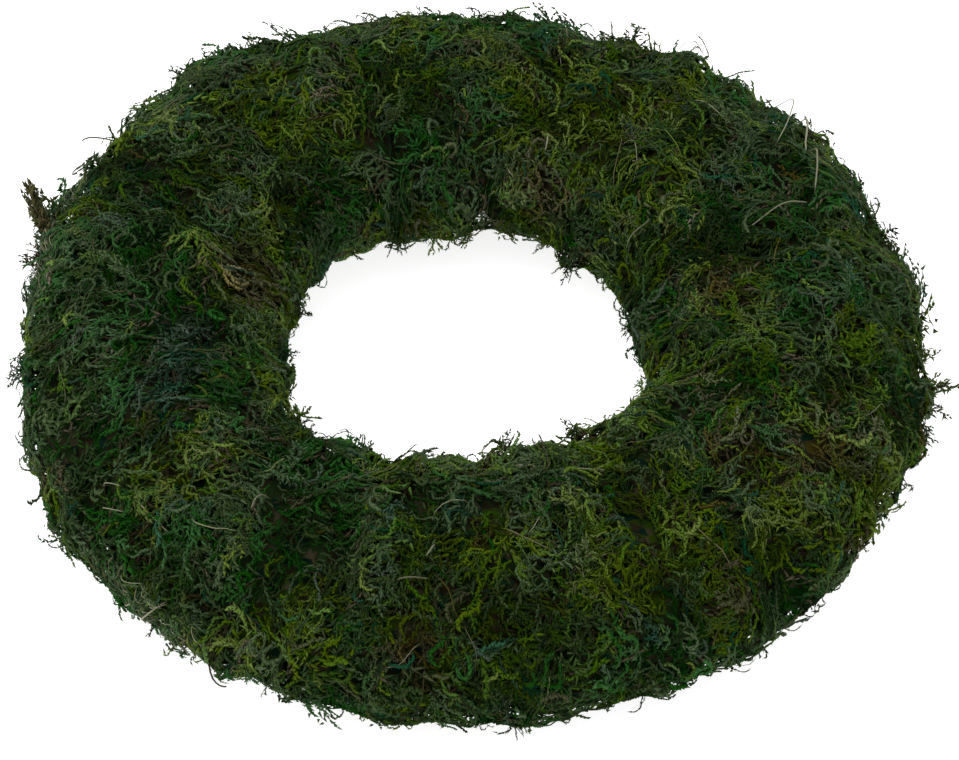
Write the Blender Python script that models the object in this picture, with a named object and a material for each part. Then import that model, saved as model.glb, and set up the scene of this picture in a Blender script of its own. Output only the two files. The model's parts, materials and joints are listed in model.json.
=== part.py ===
"""Moss wreath: a straw ring covered in combed moss mats, which one spiral of fine wire binds on.

The wreath lies flat on its back, +Z up, with its origin on the floor in the middle of the hole.
A place on the moss is given by three values. Angle runs round the ring, from +X towards +Y.
Around runs round the section: 0 on the outer side, a quarter turn on top, half a turn at the hole.
Lift is the height above the moss surface.
"""

import math
import random

import bmesh
import bpy
from mathutils import Matrix, Vector, noise

# Driving dimensions, in metres
MOSS_OUTER_RADIUS = 0.1476
MOSS_INNER_RADIUS = 0.0598
MOSS_HALF_HEIGHT = 0.0290
MIDDLE_HEIGHT = 0.0260
FORM_HALF_WIDTH = 0.0310
FORM_HALF_HEIGHT = 0.0180
WIRE_RADIUS = 0.00045
MAT_COUNT = 12
GAP = 0.0003

# The mats thin out to a skirt under the wire, and their ends meet beneath the wreath
SKIRT_INSIDE = 0.0020
SKIRT_OUTSIDE = 0.0031
GROOVE_HALF_WIDTH = WIRE_RADIUS + 1.2 * GAP
SEAM_HALF_WIDTH = 0.6 * GAP
SHOULDER_DISTANCE = 0.0018
SHOULDER_DROP = 0.0024
CROWN_DISTANCE = 0.0085
BUTT_GAP = 0.0024
WIRE_END_GAP = 0.0022

# The packed core lies below the locks that cover it and is softly uneven, but not within this
# angle of the foot
CORE_DROP = 0.0008
LUMP_HEIGHT = 0.0022
LUMP_SIZE = 0.024
PRESSED = 0.1

# Where the hand-laid coat is fuller or thinner: angle and spread in degrees, then the change
# of the outer and of the inner radius in metres
BULGES = (
    (14, 22, 0.0010, -0.0040),
    (46, 11, 0.0000, -0.0035),
    (68, 12, -0.0060, 0.0015),
    (104, 15, 0.0000, -0.0020),
    (128, 10, 0.0055, 0.0000),
    (145, 12, 0.0000, 0.0030),
    (183, 12, -0.0045, -0.0025),
    (208, 20, 0.0000, 0.0065),
    (246, 9, 0.0025, 0.0020),
    (268, 9, 0.0000, -0.0025),
    (288, 10, 0.0000, -0.0040),
    (318, 28, 0.0025, 0.0000),
    (338, 16, 0.0000, 0.0050),
)

# Locks lie combed over a mat, on an uneven grid: its spacing along and round the ring, then the
# least and the greatest of each size. A mat's locks lean one way, which drifts over its surface
LOCK_SPACING = (0.0224, 0.0188)
LOCK_LENGTH = (0.0250, 0.0360)
LOCK_WIDTH = (0.0092, 0.0132)
LOCK_RISE = (0.0014, 0.0028)
LOCK_TIP_RISE = (0.0006, 0.0040)
LOCK_FLATNESS = 0.40
LEAST_SLENDERNESS = 1.2
SCATTER = 0.35
COMB_LEAN = (math.radians(35), math.radians(80))
COMB_DRIFT = math.radians(63)
COMB_DRIFT_SIZE = 0.035

# The bare angle round the section next to the foot, for locks and for whiskers
LOCK_FREE = 0.1
WHISKER_FREE = 0.35

# Whiskers stand out of a mat at a lean from upright, in this middle share of its width
WHISKER_PLACE = (0.15, 0.85)
WHISKERS_PER_MAT = 6
WHISKER_LENGTH = (0.0060, 0.0100)
WHISKER_WIDTH = (0.0011, 0.0015)
WHISKER_LEAN = (math.radians(28), math.radians(70))

# Sprigs at the outline: angle and around in degrees, length in metres, and their lean in degrees
# from upright, towards a rising angle round the ring
SPRIGS = (
    (158, -4, 0.017, 20),
    (144, 6, 0.013, -35),
    (187, 14, 0.013, 15),
    (117, 52, 0.013, 10),
    (121, 40, 0.012, 30),
    (96, 12, 0.009, 20),
    (67, 48, 0.012, -15),
    (47, 30, 0.013, 25),
    (35, 38, 0.014, 40),
    (356, 8, 0.007, 30),
    (348, 2, 0.010, 20),
    (339, -6, 0.012, -20),
    (262, 6, 0.008, -25),
    (276, 0, 0.008, 30),
    (243, 2, 0.010, -30),
    (228, 4, 0.009, 15),
    (223, 150, 0.010, -20),
    (278, 140, 0.011, 35),
    (316, 150, 0.012, -30),
    (49, 170, 0.008, 15),
    (173, 160, 0.008, -30),
)
SPRIG_SHOOTS = ((1.0, 0), (0.75, 40), (0.7, -35))

# How a strand sits: its root's depth, its distance from the wires and its height off the floor
ROOT_DEPTH = 0.0022
SEAM_MARGIN = 0.0006
LOWEST_POINT = 0.0012

# A strand's shape beside a plain cone: its slimmer root and fuller middle. Then the share of a
# whisker's height that its middle reaches
ROOT_SHARE = 0.45
BELLY = 1.7
WHISKER_BEND = 0.6

SECTION_STEPS = 12
TOP_MIDDLE, BACK_MIDDLE = 4, 10
FORM_STEPS = (36, 8)
SEED = 11

PITCH = math.tau / MAT_COUNT
BOTTOM = -math.pi / 2
FOOT_EDGE = -math.asin(MIDDLE_HEIGHT / MOSS_HALF_HEIGHT)
FAR_FOOT_EDGE = math.pi - FOOT_EDGE
MIDDLE_RADIUS = (MOSS_OUTER_RADIUS + MOSS_INNER_RADIUS) / 2
MOSS_HALF_WIDTH = (MOSS_OUTER_RADIUS - MOSS_INNER_RADIUS) / 2

# Base colour, metallic and roughness
FINISHES = {
    "moss_dark": ((0.014, 0.032, 0.008), 0.0, 0.9),
    "moss_olive": ((0.032, 0.046, 0.010), 0.0, 0.9),
    "moss_blue_green": ((0.008, 0.040, 0.018), 0.0, 0.9),
    "straw": ((0.42, 0.30, 0.13), 0.0, 0.85),
    "green_wire": ((0.012, 0.035, 0.016), 0.6, 0.45),
}
OLIVE_MATS = (1, 8, 11, 12)
BLUE_GREEN_MATS = (6, 7)


def clear_scene():
    for obj in list(bpy.data.objects):
        bpy.data.objects.remove(obj)


def make_material(name):
    colour, metallic, roughness = FINISHES[name]
    material = bpy.data.materials.new(name)
    material.use_nodes = True
    shader = material.node_tree.nodes["Principled BSDF"]
    shader.inputs["Base Color"].default_value = (*colour, 1)
    shader.inputs["Metallic"].default_value = metallic
    shader.inputs["Roughness"].default_value = roughness
    return material


# The ring's surface


def ring_radii(angle):
    """The outer and the inner radius of the moss at this angle round the ring."""
    outer, inner = MOSS_OUTER_RADIUS, MOSS_INNER_RADIUS
    for at, spread, outer_change, inner_change in BULGES:
        turned = math.remainder(angle - math.radians(at), math.tau)
        share = math.exp(-((turned / math.radians(spread)) ** 2))
        outer += share * outer_change
        inner += share * inner_change
    return outer, inner


def section_point(angle, around, middle, half_width, half_height, lift):
    """A point at this lift above an elliptical section of the ring."""
    outward = Vector((half_height * math.cos(around), half_width * math.sin(around))).normalized()
    radius = middle + half_width * math.cos(around) + lift * outward.x
    height = MIDDLE_HEIGHT + half_height * math.sin(around) + lift * outward.y
    return Vector((radius * math.cos(angle), radius * math.sin(angle), height))


def form_point(angle, around, lift):
    return section_point(angle, around, MIDDLE_RADIUS, FORM_HALF_WIDTH, FORM_HALF_HEIGHT, lift)


def moss_point(angle, around, lift):
    """A point above the moss, which is pressed flat where it meets the floor."""
    outer, inner = ring_radii(angle)
    middle, half_width = (outer + inner) / 2, (outer - inner) / 2
    point = section_point(angle, around, middle, half_width, MOSS_HALF_HEIGHT, lift)
    point.z = max(point.z, 0)
    return point


def ring_radius(angle, around):
    """How far the moss surface lies from the wreath's axis."""
    return moss_point(angle, around, 0).xy.length


def section_radius(around):
    """The length of surface that one radian covers round the section."""
    return math.hypot(MOSS_HALF_HEIGHT * math.cos(around), MOSS_HALF_WIDTH * math.sin(around))


def core_point(angle, around):
    """A point on a mat's packed core, which is lumpy but for its pressed foot."""
    if not FOOT_EDGE + PRESSED < around < FAR_FOOT_EDGE - PRESSED:
        return moss_point(angle, around, 0)
    lump = noise.noise(moss_point(angle, around, 0) / LUMP_SIZE)
    return moss_point(angle, around, LUMP_HEIGHT * lump - CORE_DROP)


def seam_angle(turn, around):
    """Where the wire of this turn lies: it moves on by one mat in each turn round the section."""
    return PITCH * (turn + (around - BOTTOM) / math.tau)


def stations():
    """Places round the section: the butted ends, the foot's edges and even steps between."""
    end = BUTT_GAP / (2 * FORM_HALF_WIDTH)
    step = (FAR_FOOT_EDGE - FOOT_EDGE) / SECTION_STEPS
    steps = [FOOT_EDGE + step * index for index in range(SECTION_STEPS + 1)]
    return [BOTTOM + end, *steps, BOTTOM + math.tau - end]


# A mat's packed body


def mat_profile(mat, around):
    """The cross-cut of a mat from one wire to the next: along the top, then back along the form."""
    start, stop = seam_angle(mat, around), seam_angle(mat + 1, around)
    middle = (start + stop) / 2
    radius = ring_radius(middle, around)

    def both_sides(distance):
        return start + distance / radius, stop - distance / radius

    edges, grooves = both_sides(SEAM_HALF_WIDTH), both_sides(GROOVE_HALF_WIDTH)
    shoulders, crowns = both_sides(SHOULDER_DISTANCE), both_sides(CROWN_DISTANCE)
    top = [form_point(angle, around, SKIRT_OUTSIDE) for angle in (edges[0], grooves[0])]
    top.append(moss_point(shoulders[0], around, -SHOULDER_DROP))
    top += [core_point(angle, around) for angle in (crowns[0], middle, crowns[1])]
    top.append(moss_point(shoulders[1], around, -SHOULDER_DROP))
    top += [form_point(angle, around, SKIRT_OUTSIDE) for angle in (grooves[1], edges[1])]
    back = [form_point(angle, around, SKIRT_INSIDE) for angle in (edges[1], middle, edges[0])]
    return top + back


def mat_core(mat, name):
    """The packed body of a mat: its cross-cut lofted once round the form, with both ends closed."""
    bm = bmesh.new()
    rows = [[bm.verts.new(point) for point in mat_profile(mat, around)] for around in stations()]
    for row, after in zip(rows, rows[1:]):
        for index in range(len(row)):
            bm.faces.new((row[index - 1], row[index], after[index], after[index - 1]))
    for end in (rows[0], rows[-1]):
        bm.faces.new([*end[: TOP_MIDDLE + 1], *end[BACK_MIDDLE:]])
        bm.faces.new(end[TOP_MIDDLE : BACK_MIDDLE + 1])
    bmesh.ops.recalc_face_normals(bm, faces=bm.faces)
    bmesh.ops.triangulate(bm, faces=bm.faces, ngon_method="EAR_CLIP")
    return bpy.data.objects.new(name, mesh_from(bm, name))


def mesh_from(bm, name):
    mesh = bpy.data.meshes.new(name)
    bm.to_mesh(mesh)
    bm.free()
    return mesh


# Strands: locks, whiskers and sprigs


def straight_strand():
    """A strand before it is bent: a three-sided cone along +Z, one long, slim at its root."""
    bm = bmesh.new()
    standing = Matrix.Translation((0, 0, 0.5))
    bmesh.ops.create_cone(bm, cap_ends=True, segments=3, radius1=0.5, radius2=0, depth=1, matrix=standing)
    everything = bm.verts[:] + bm.edges[:] + bm.faces[:]
    bmesh.ops.bisect_plane(bm, geom=everything, plane_co=(0, 0, 0.5), plane_no=(0, 0, 1))
    for vertex in bm.verts:
        vertex.co.xy *= ROOT_SHARE if vertex.co.z == 0 else BELLY
    return mesh_from(bm, "straight_strand")


def bent_strand(straight, path, width, flatness, outward):
    """A copy of the straight strand, bent along a path of root, middle and tip."""
    root, middle, tip = path
    along = (tip - root).normalized()
    side = along.cross(outward).normalized()
    thick = side.cross(along) * flatness
    mesh = straight.copy()
    for vertex in mesh.vertices:
        across = width * (vertex.co.x * thick + vertex.co.y * side)
        share = 2 * vertex.co.z
        spine = root.lerp(middle, share) if share < 1 else middle.lerp(tip, share - 1)
        vertex.co = spine + across
    return bpy.data.objects.new("strand", mesh)


class Coat:
    """The strands of one mat, each kept between the two wires that hold it and off the floor."""

    def __init__(self, mat, straight, draw):
        self.mat, self.straight, self.draw = mat, straight, draw
        self.strands = []

    def seams(self, around):
        return seam_angle(self.mat, around), seam_angle(self.mat + 1, around)

    def clear_point(self, angle, around, lift, half_width):
        """A point on a strand, moved clear of both wires, the foot and the floor."""
        around = min(max(around, FOOT_EDGE), FAR_FOOT_EDGE)
        margin = (SEAM_MARGIN + half_width) / ring_radius(angle, around)
        start, stop = self.seams(around)
        point = moss_point(min(max(angle, start + margin), stop - margin), around, lift)
        point.z = max(point.z, LOWEST_POINT + half_width)
        return point

    def grow(self, angle, around, heading, reach, lifts, width, flatness):
        """One strand. Its heading turns from along the ring to round the section."""
        turn = reach * math.cos(heading) / ring_radius(angle, around)
        climb = reach * math.sin(heading) / section_radius(around)
        half_widths = (ROOT_SHARE * width / 2, BELLY * width / 4, 0)
        path = []
        for share, lift, half_width in zip((0, 0.5, 1), lifts, half_widths):
            place = (angle + share * turn, around + share * climb)
            path.append(self.clear_point(*place, lift, half_width))
        outward = moss_point(angle, around, width) - moss_point(angle, around, 0)
        if (path[2] - path[0]).length > LEAST_SLENDERNESS * width:
            strand = bent_strand(self.straight, path, width, flatness, outward.normalized())
            self.strands.append(strand)

    def lock(self, angle, around, lean):
        draw = self.draw
        drift = noise.noise(moss_point(angle, around, 0) / COMB_DRIFT_SIZE)
        lifts = (-ROOT_DEPTH, draw.uniform(*LOCK_RISE), draw.uniform(*LOCK_TIP_RISE))
        heading, length = lean + COMB_DRIFT * drift, draw.uniform(*LOCK_LENGTH)
        self.grow(angle, around, heading, length, lifts, draw.uniform(*LOCK_WIDTH), LOCK_FLATNESS)

    def comb(self):
        """Locks all over the mat but its foot, in rows round the section."""
        draw = self.draw
        lean = draw.uniform(*COMB_LEAN) * draw.choice((-1, 1))
        around = FOOT_EDGE + LOCK_FREE
        while around < FAR_FOOT_EDGE - LOCK_FREE:
            row = LOCK_SPACING[1] / section_radius(around)
            start, stop = self.seams(around)
            count = max(2, round(PITCH * ring_radius(start, around) / LOCK_SPACING[0]))
            for column in range(count):
                share = (column + 0.5 + draw.uniform(-SCATTER, SCATTER)) / count
                place = around + draw.uniform(-SCATTER, SCATTER) * row
                self.lock(start + share * (stop - start), place, lean)
            around += row

    def whisker(self, angle, around, heading, length, lean):
        height, reach = length * math.cos(lean), length * math.sin(lean)
        lifts = (-ROOT_DEPTH, WHISKER_BEND * height, height)
        self.grow(angle, around, heading, reach, lifts, self.draw.uniform(*WHISKER_WIDTH), 1)

    def roughen(self):
        """Whiskers here and there on the mat but not near its foot or its wires."""
        draw = self.draw
        for _ in range(WHISKERS_PER_MAT):
            around = draw.uniform(FOOT_EDGE + WHISKER_FREE, FAR_FOOT_EDGE - WHISKER_FREE)
            start, stop = self.seams(around)
            angle = start + draw.uniform(*WHISKER_PLACE) * (stop - start)
            heading, length = draw.uniform(0, math.tau), draw.uniform(*WHISKER_LENGTH)
            self.whisker(angle, around, heading, length, draw.uniform(*WHISKER_LEAN))

    def sprig(self, angle, around, length, lean):
        """A stem and two side shoots from one root, if the root is on this mat."""
        start, stop = self.seams(around)
        angle = start + (angle - start) % math.tau
        if angle < stop:
            for share, spread in SPRIG_SHOOTS:
                tilt = lean + math.radians(spread)
                heading = 0 if tilt > 0 else math.pi
                self.whisker(angle, around, heading, share * length, abs(tilt))


# Joining a mat's strands to its body


def shells_of(bm):
    """The sets of vertices that hang together."""
    left, shells = set(bm.verts), []
    while left:
        shell, ahead = set(), [left.pop()]
        while ahead:
            vertex = ahead.pop()
            shell.add(vertex)
            beside = [edge.other_vert(vertex) for edge in vertex.link_edges]
            ahead += [other for other in beside if other not in shell]
        shells.append(shell)
        left -= shell
    return shells


def keep_largest_shell(mesh):
    """Drops loose scraps and fills sealed hollows."""
    bm = bmesh.new()
    bm.from_mesh(mesh)
    largest = max(shells_of(bm), key=len)
    bmesh.ops.delete(bm, geom=[vertex for vertex in bm.verts if vertex not in largest], context="VERTS")
    bm.to_mesh(mesh)
    bm.free()


def fuse(core, strands):
    """Joins the strands to the core and removes them. The core's collection is already in the scene."""
    helpers = bpy.data.collections.new("strands")
    bpy.context.scene.collection.children.link(helpers)
    for strand in strands:
        helpers.objects.link(strand)
    union = core.modifiers.new("strands", "BOOLEAN")
    union.operation = "UNION"
    union.operand_type = "COLLECTION"
    union.collection = helpers
    # EXACT leaves open edges on one of the mats
    union.solver = "MANIFOLD"
    evaluated = core.evaluated_get(bpy.context.evaluated_depsgraph_get())
    core.data = bpy.data.meshes.new_from_object(evaluated)
    core.modifiers.clear()
    keep_largest_shell(core.data)
    for strand in strands:
        bpy.data.objects.remove(strand)
    bpy.data.collections.remove(helpers)


def mat_finish(number):
    if number in OLIVE_MATS:
        return "moss_olive"
    return "moss_blue_green" if number in BLUE_GREEN_MATS else "moss_dark"


def make_mats(collection, materials):
    """The mats, each with its combed locks, its whiskers and the sprigs that root in it."""
    draw = random.Random(SEED)
    straight = straight_strand()
    for mat in range(MAT_COUNT):
        coat = Coat(mat, straight, draw)
        coat.comb()
        coat.roughen()
        for angle, around, length, lean in SPRIGS:
            coat.sprig(math.radians(angle), math.radians(around), length, math.radians(lean))
        core = mat_core(mat, f"moss_mat_{mat + 1:02d}")
        collection.objects.link(core)
        fuse(core, coat.strands)
        core.data.materials.clear()
        core.data.materials.append(materials[mat_finish(mat + 1)])
    bpy.data.meshes.remove(straight)


# The form and the wire


def make_form(collection, material):
    """The straw ring, wound flat: a torus pressed to its half height."""
    bpy.ops.mesh.primitive_torus_add(
        major_segments=FORM_STEPS[0],
        minor_segments=FORM_STEPS[1],
        major_radius=MIDDLE_RADIUS,
        minor_radius=FORM_HALF_WIDTH,
        location=(0, 0, MIDDLE_HEIGHT),
    )
    form = bpy.context.object
    form.name = "wreath_form"
    form.scale.z = FORM_HALF_HEIGHT / FORM_HALF_WIDTH
    bpy.ops.object.transform_apply(location=True, scale=True)
    form.data.shade_smooth()
    form.data.materials.append(material)
    for owner in form.users_collection:
        owner.objects.unlink(form)
    collection.objects.link(form)


def wire_route():
    """The wire's points: once round the form for each mat, with its two ends side by side beneath."""
    lift = SKIRT_OUTSIDE + GAP + WIRE_RADIUS
    places = [BOTTOM, *stations()[1:-1]]
    route = [(turn, around) for turn in range(MAT_COUNT) for around in places]
    route.append((MAT_COUNT - 1, BOTTOM + math.tau - WIRE_END_GAP / FORM_HALF_WIDTH))
    return [form_point(seam_angle(turn, around), around, lift) for turn, around in route]


def make_wire(collection, material):
    curve = bpy.data.curves.new("binding_wire", "CURVE")
    curve.dimensions = "3D"
    curve.bevel_depth = WIRE_RADIUS
    curve.bevel_resolution = 0
    curve.use_fill_caps = True
    route = wire_route()
    spline = curve.splines.new("POLY")
    spline.points.add(len(route) - 1)
    for point, place in zip(spline.points, route):
        point.co = (*place, 1)
    curve.materials.append(material)
    collection.objects.link(bpy.data.objects.new("binding_wire", curve))


def main():
    clear_scene()
    collection = bpy.data.collections.new("moss_wreath")
    bpy.context.scene.collection.children.link(collection)
    materials = {name: make_material(name) for name in FINISHES}
    make_form(collection, materials["straw"])
    make_wire(collection, materials["green_wire"])
    make_mats(collection, materials)


main()
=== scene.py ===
# %% [markdown]
# # Moss wreath
#
# A wreath of dried green moss lies on a white surface. Under the moss is a ring of straw, and one
# green wire, wound round and round, holds twelve handfuls of moss on it.
#
# The plain solids of the part come in first. This lesson keeps the straw ring and the wire, and
# covers the twelve mats with moss that is grown by Geometry Nodes.

# %% Load the part
import json
import math
import random

import bmesh
import bpy
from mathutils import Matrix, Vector, noise

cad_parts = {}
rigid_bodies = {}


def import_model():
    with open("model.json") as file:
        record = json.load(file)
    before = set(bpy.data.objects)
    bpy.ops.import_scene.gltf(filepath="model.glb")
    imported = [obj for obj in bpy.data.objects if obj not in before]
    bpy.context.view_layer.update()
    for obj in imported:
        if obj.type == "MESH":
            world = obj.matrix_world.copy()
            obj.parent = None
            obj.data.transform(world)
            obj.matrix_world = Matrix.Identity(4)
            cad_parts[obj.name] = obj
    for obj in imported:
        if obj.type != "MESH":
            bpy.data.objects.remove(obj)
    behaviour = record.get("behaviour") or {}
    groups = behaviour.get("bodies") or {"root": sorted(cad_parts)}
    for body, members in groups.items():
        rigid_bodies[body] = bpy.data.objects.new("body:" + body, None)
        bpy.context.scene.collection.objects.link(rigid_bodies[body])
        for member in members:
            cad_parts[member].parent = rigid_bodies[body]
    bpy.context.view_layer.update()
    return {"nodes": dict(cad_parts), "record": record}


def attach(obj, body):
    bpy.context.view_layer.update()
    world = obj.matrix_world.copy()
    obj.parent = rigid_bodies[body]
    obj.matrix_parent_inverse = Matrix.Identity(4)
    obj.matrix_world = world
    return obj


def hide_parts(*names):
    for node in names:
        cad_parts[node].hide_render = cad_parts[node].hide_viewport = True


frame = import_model()
print("nodes", len(frame["nodes"]))

# %% [markdown]
# ## One way to write nodes
#
# Both materials and geometry are node trees. They could be clicked together by hand, but a script
# can be read again later. Two small classes keep that script short. `Tree.add` makes any node, and
# `Flow` is a value on its way through the tree, so that a sum of nodes is written as a sum.

# %% Tree and Flow
VECTOR = "FLOAT_VECTOR"


def pick(sockets, key):
    """A node's live socket with this name, or at this place among its live sockets."""
    live = [socket for socket in sockets if socket.enabled]
    return live[key] if isinstance(key, int) else next(s for s in live if s.name == key)


class Tree:
    """A node tree that a script fills."""

    def __init__(self, nodes):
        self.tree = nodes
        self.tree.nodes.clear()

    def add(self, kind, settings=None, values=None, output=0):
        node = self.tree.nodes.new(kind)
        for name, value in (settings or {}).items():
            if name == "stops":
                self.set_stops(node.color_ramp, value)
            else:
                setattr(node, name, value)
        for key, value in (values or {}).items():
            self.feed(node, key, value)
        return Flow(self, node, output)

    def feed(self, node, key, value):
        for each in value if isinstance(value, list) else [value]:
            if isinstance(each, Flow):
                self.tree.links.new(each.socket, pick(node.inputs, key))
            else:
                pick(node.inputs, key).default_value = each

    def maths(self, operation, *values):
        """The node for this operation, in its vector form where any value is a vector."""
        vectors = [is_vector(value) for value in values]
        if operation == "MULTIPLY" and vectors.count(True) == 1:
            number, vector = sorted(values, key=is_vector)
            values = {"Vector": vector, "Scale": number}
            return self.add("ShaderNodeVectorMath", {"operation": "SCALE"}, values)
        kind = "ShaderNodeVectorMath" if any(vectors) else "ShaderNodeMath"
        return self.add(kind, {"operation": operation}, dict(enumerate(values)))

    def noise(self, place, scale, detail):
        values = {"Vector": place, "Scale": scale, "Detail": detail}
        return self.add("ShaderNodeTexNoise", values=values)

    def split(self, vector):
        return self.add("ShaderNodeSeparateXYZ", values={0: vector})

    def combine(self, x, y, z=0.0):
        return self.add("ShaderNodeCombineXYZ", values={"X": x, "Y": y, "Z": z})

    def set_stops(self, ramp, stops):
        while len(ramp.elements) < len(stops):
            ramp.elements.new(1.0)
        for element, (place, colour) in zip(ramp.elements, stops):
            element.position = place
            element.color = (*colour, 1)


class Flow:
    """A value in a node tree. Sums and products of it add the nodes that work them out."""

    def __init__(self, tree, node, output=0):
        self.tree, self.node, self.output = tree, node, output

    @property
    def socket(self):
        return pick(self.node.outputs, self.output)

    def __getitem__(self, name):
        """Another output of the same node."""
        return Flow(self.tree, self.node, name)


def is_vector(value):
    if isinstance(value, Flow):
        return value.socket.type in ("VECTOR", "RGBA")
    return hasattr(value, "__len__")


def operator(operation, swapped):
    """A method of Flow that adds the node for this operation."""

    def method(self, other):
        return self.tree.maths(operation, *((other, self) if swapped else (self, other)))

    return method


OPERATORS = {
    "add": "ADD",
    "sub": "SUBTRACT",
    "mul": "MULTIPLY",
    "truediv": "DIVIDE",
    "pow": "POWER",
}
for name, operation in OPERATORS.items():
    setattr(Flow, f"__{name}__", operator(operation, swapped=False))
    setattr(Flow, f"__r{name}__", operator(operation, swapped=True))
print("one way to write", len(OPERATORS), "kinds of sum")

# %% [markdown]
# ## The shape of the ring
#
# The real wreath is a ring that is packed by hand, so it is fuller in some places than in others.
# A modeller could sculpt it. Here the same few rules as in the part's own source give the surface,
# so that the moss lies where the solids are. A place is given by its angle round the ring, its
# angle around the section and its lift above the surface.

# %% Ring surface
MOSS_OUTER_RADIUS = 0.1476
MOSS_INNER_RADIUS = 0.0598
MOSS_HALF_HEIGHT = 0.0290
MIDDLE_HEIGHT = 0.0260
FORM_HALF_WIDTH = 0.0310
FORM_HALF_HEIGHT = 0.0180
MAT_COUNT = 12
LUMP_HEIGHT = 0.0022
LUMP_SIZE = 0.024
BULGES = (
    (14, 22, 0.0010, -0.0040),
    (46, 11, 0.0000, -0.0035),
    (68, 12, -0.0060, 0.0015),
    (104, 15, 0.0000, -0.0020),
    (128, 10, 0.0055, 0.0000),
    (145, 12, 0.0000, 0.0030),
    (183, 12, -0.0045, -0.0025),
    (208, 20, 0.0000, 0.0065),
    (246, 9, 0.0025, 0.0020),
    (268, 9, 0.0000, -0.0025),
    (288, 10, 0.0000, -0.0040),
    (318, 28, 0.0025, 0.0000),
    (338, 16, 0.0000, 0.0050),
)
PITCH = math.tau / MAT_COUNT
BOTTOM = -math.pi / 2
FOOT_EDGE = -math.asin(MIDDLE_HEIGHT / MOSS_HALF_HEIGHT)
FAR_FOOT_EDGE = math.pi - FOOT_EDGE
MIDDLE_RADIUS = (MOSS_OUTER_RADIUS + MOSS_INNER_RADIUS) / 2


def ring_radii(angle):
    """The outer and the inner radius of the moss at this angle round the ring."""
    outer, inner = MOSS_OUTER_RADIUS, MOSS_INNER_RADIUS
    for at, spread, outer_change, inner_change in BULGES:
        turned = math.remainder(angle - math.radians(at), math.tau)
        share = math.exp(-((turned / math.radians(spread)) ** 2))
        outer += share * outer_change
        inner += share * inner_change
    return outer, inner


def section_point(angle, around, middle, half_width, half_height, lift):
    outward = Vector((half_height * math.cos(around), half_width * math.sin(around))).normalized()
    radius = middle + half_width * math.cos(around) + lift * outward.x
    height = MIDDLE_HEIGHT + half_height * math.sin(around) + lift * outward.y
    return Vector((radius * math.cos(angle), radius * math.sin(angle), height))


def form_point(angle, around, lift):
    return section_point(angle, around, MIDDLE_RADIUS, FORM_HALF_WIDTH, FORM_HALF_HEIGHT, lift)


def moss_point(angle, around, lift=0.0):
    """A point above the moss, which is pressed flat where it meets the surface it lies on."""
    outer, inner = ring_radii(angle)
    middle, half_width = (outer + inner) / 2, (outer - inner) / 2
    point = section_point(angle, around, middle, half_width, MOSS_HALF_HEIGHT, lift)
    point.z = max(point.z, 0)
    return point


def lump(angle, around):
    """How far the surface swells here, in metres."""
    return LUMP_HEIGHT * noise.noise(moss_point(angle, around) / LUMP_SIZE)


def seam_angle(turn, around):
    """Where the wire of this turn lies: it moves on by one mat in each turn round the section."""
    return PITCH * (turn + (around - BOTTOM) / math.tau)


print("ring", MOSS_OUTER_RADIUS * 2000, "mm across, hole", MOSS_INNER_RADIUS * 2000, "mm")

# %% [markdown]
# ## Camera, floor and light
#
# The photograph looks down at the wreath from the front at about 49 degrees, through a long lens.
# It was taken on a white surface in even light, so nearly no shadow shows. A large soft lamp
# overhead and a weaker one at the left give that, on a plain white floor.

# %% Camera, floor and light
SENSOR_WIDTH = 36.0
CAMERA_PLACE = (0.0, -0.7435, 0.8463)
CAMERA_TILT = math.radians(41.30)
CAMERA_LENS = 127.09
CAMERA_SHIFT = (0.01495, 0.01471)
FLOOR_HALF_WIDTH = 6.0
FLOOR_WHITE = 0.60
LAMPS = (
    # name, place, size, power in watts
    ("overhead", (-0.35, 0.45, 1.5), 1.6, 8.0),
    ("left", (-1.5, -0.3, 0.9), 1.4, 6.0),
)
SKY_STRENGTH = 0.90
FLOOR_GLOW = 0.82


def new_object(name, data):
    made = bpy.data.objects.new(name, data)
    bpy.context.scene.collection.objects.link(made)
    return made


def make_camera():
    data = bpy.data.cameras.new("camera")
    data.sensor_width, data.lens = SENSOR_WIDTH, CAMERA_LENS
    data.shift_x, data.shift_y = CAMERA_SHIFT
    camera = new_object("camera", data)
    camera.location = CAMERA_PLACE
    camera.rotation_euler = (CAMERA_TILT, 0, 0)
    bpy.context.scene.camera = camera


def make_lamp(name, place, size, power):
    data = bpy.data.lights.new(name, "AREA")
    data.shape, data.size, data.energy = "DISK", size, power
    lamp = new_object(name, data)
    lamp.location = place
    lamp.rotation_euler = (-Vector(place)).to_track_quat("-Z", "Y").to_euler()


def make_material(name):
    """A new material and its empty tree."""
    material = bpy.data.materials.new(name)
    material.use_nodes = True
    return material, Tree(material.node_tree)


def finish_material(tree, values):
    """Ends a tree in a Principled shader with these values."""
    shader = tree.add("ShaderNodeBsdfPrincipled", values=values)
    tree.add("ShaderNodeOutputMaterial", values={"Surface": shader})


def new_mesh(name, bm):
    mesh = bpy.data.meshes.new(name)
    bm.to_mesh(mesh)
    bm.free()
    return mesh


make_camera()
for lamp in LAMPS:
    make_lamp(*lamp)
world = bpy.data.worlds.new("soft_white")
world.use_nodes = True
sky = world.node_tree.nodes["Background"].inputs
sky["Color"].default_value = (1, 1, 1, 1)
sky["Strength"].default_value = SKY_STRENGTH
bpy.context.scene.world = world
bpy.context.scene.view_settings.view_transform = "Standard"

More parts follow.
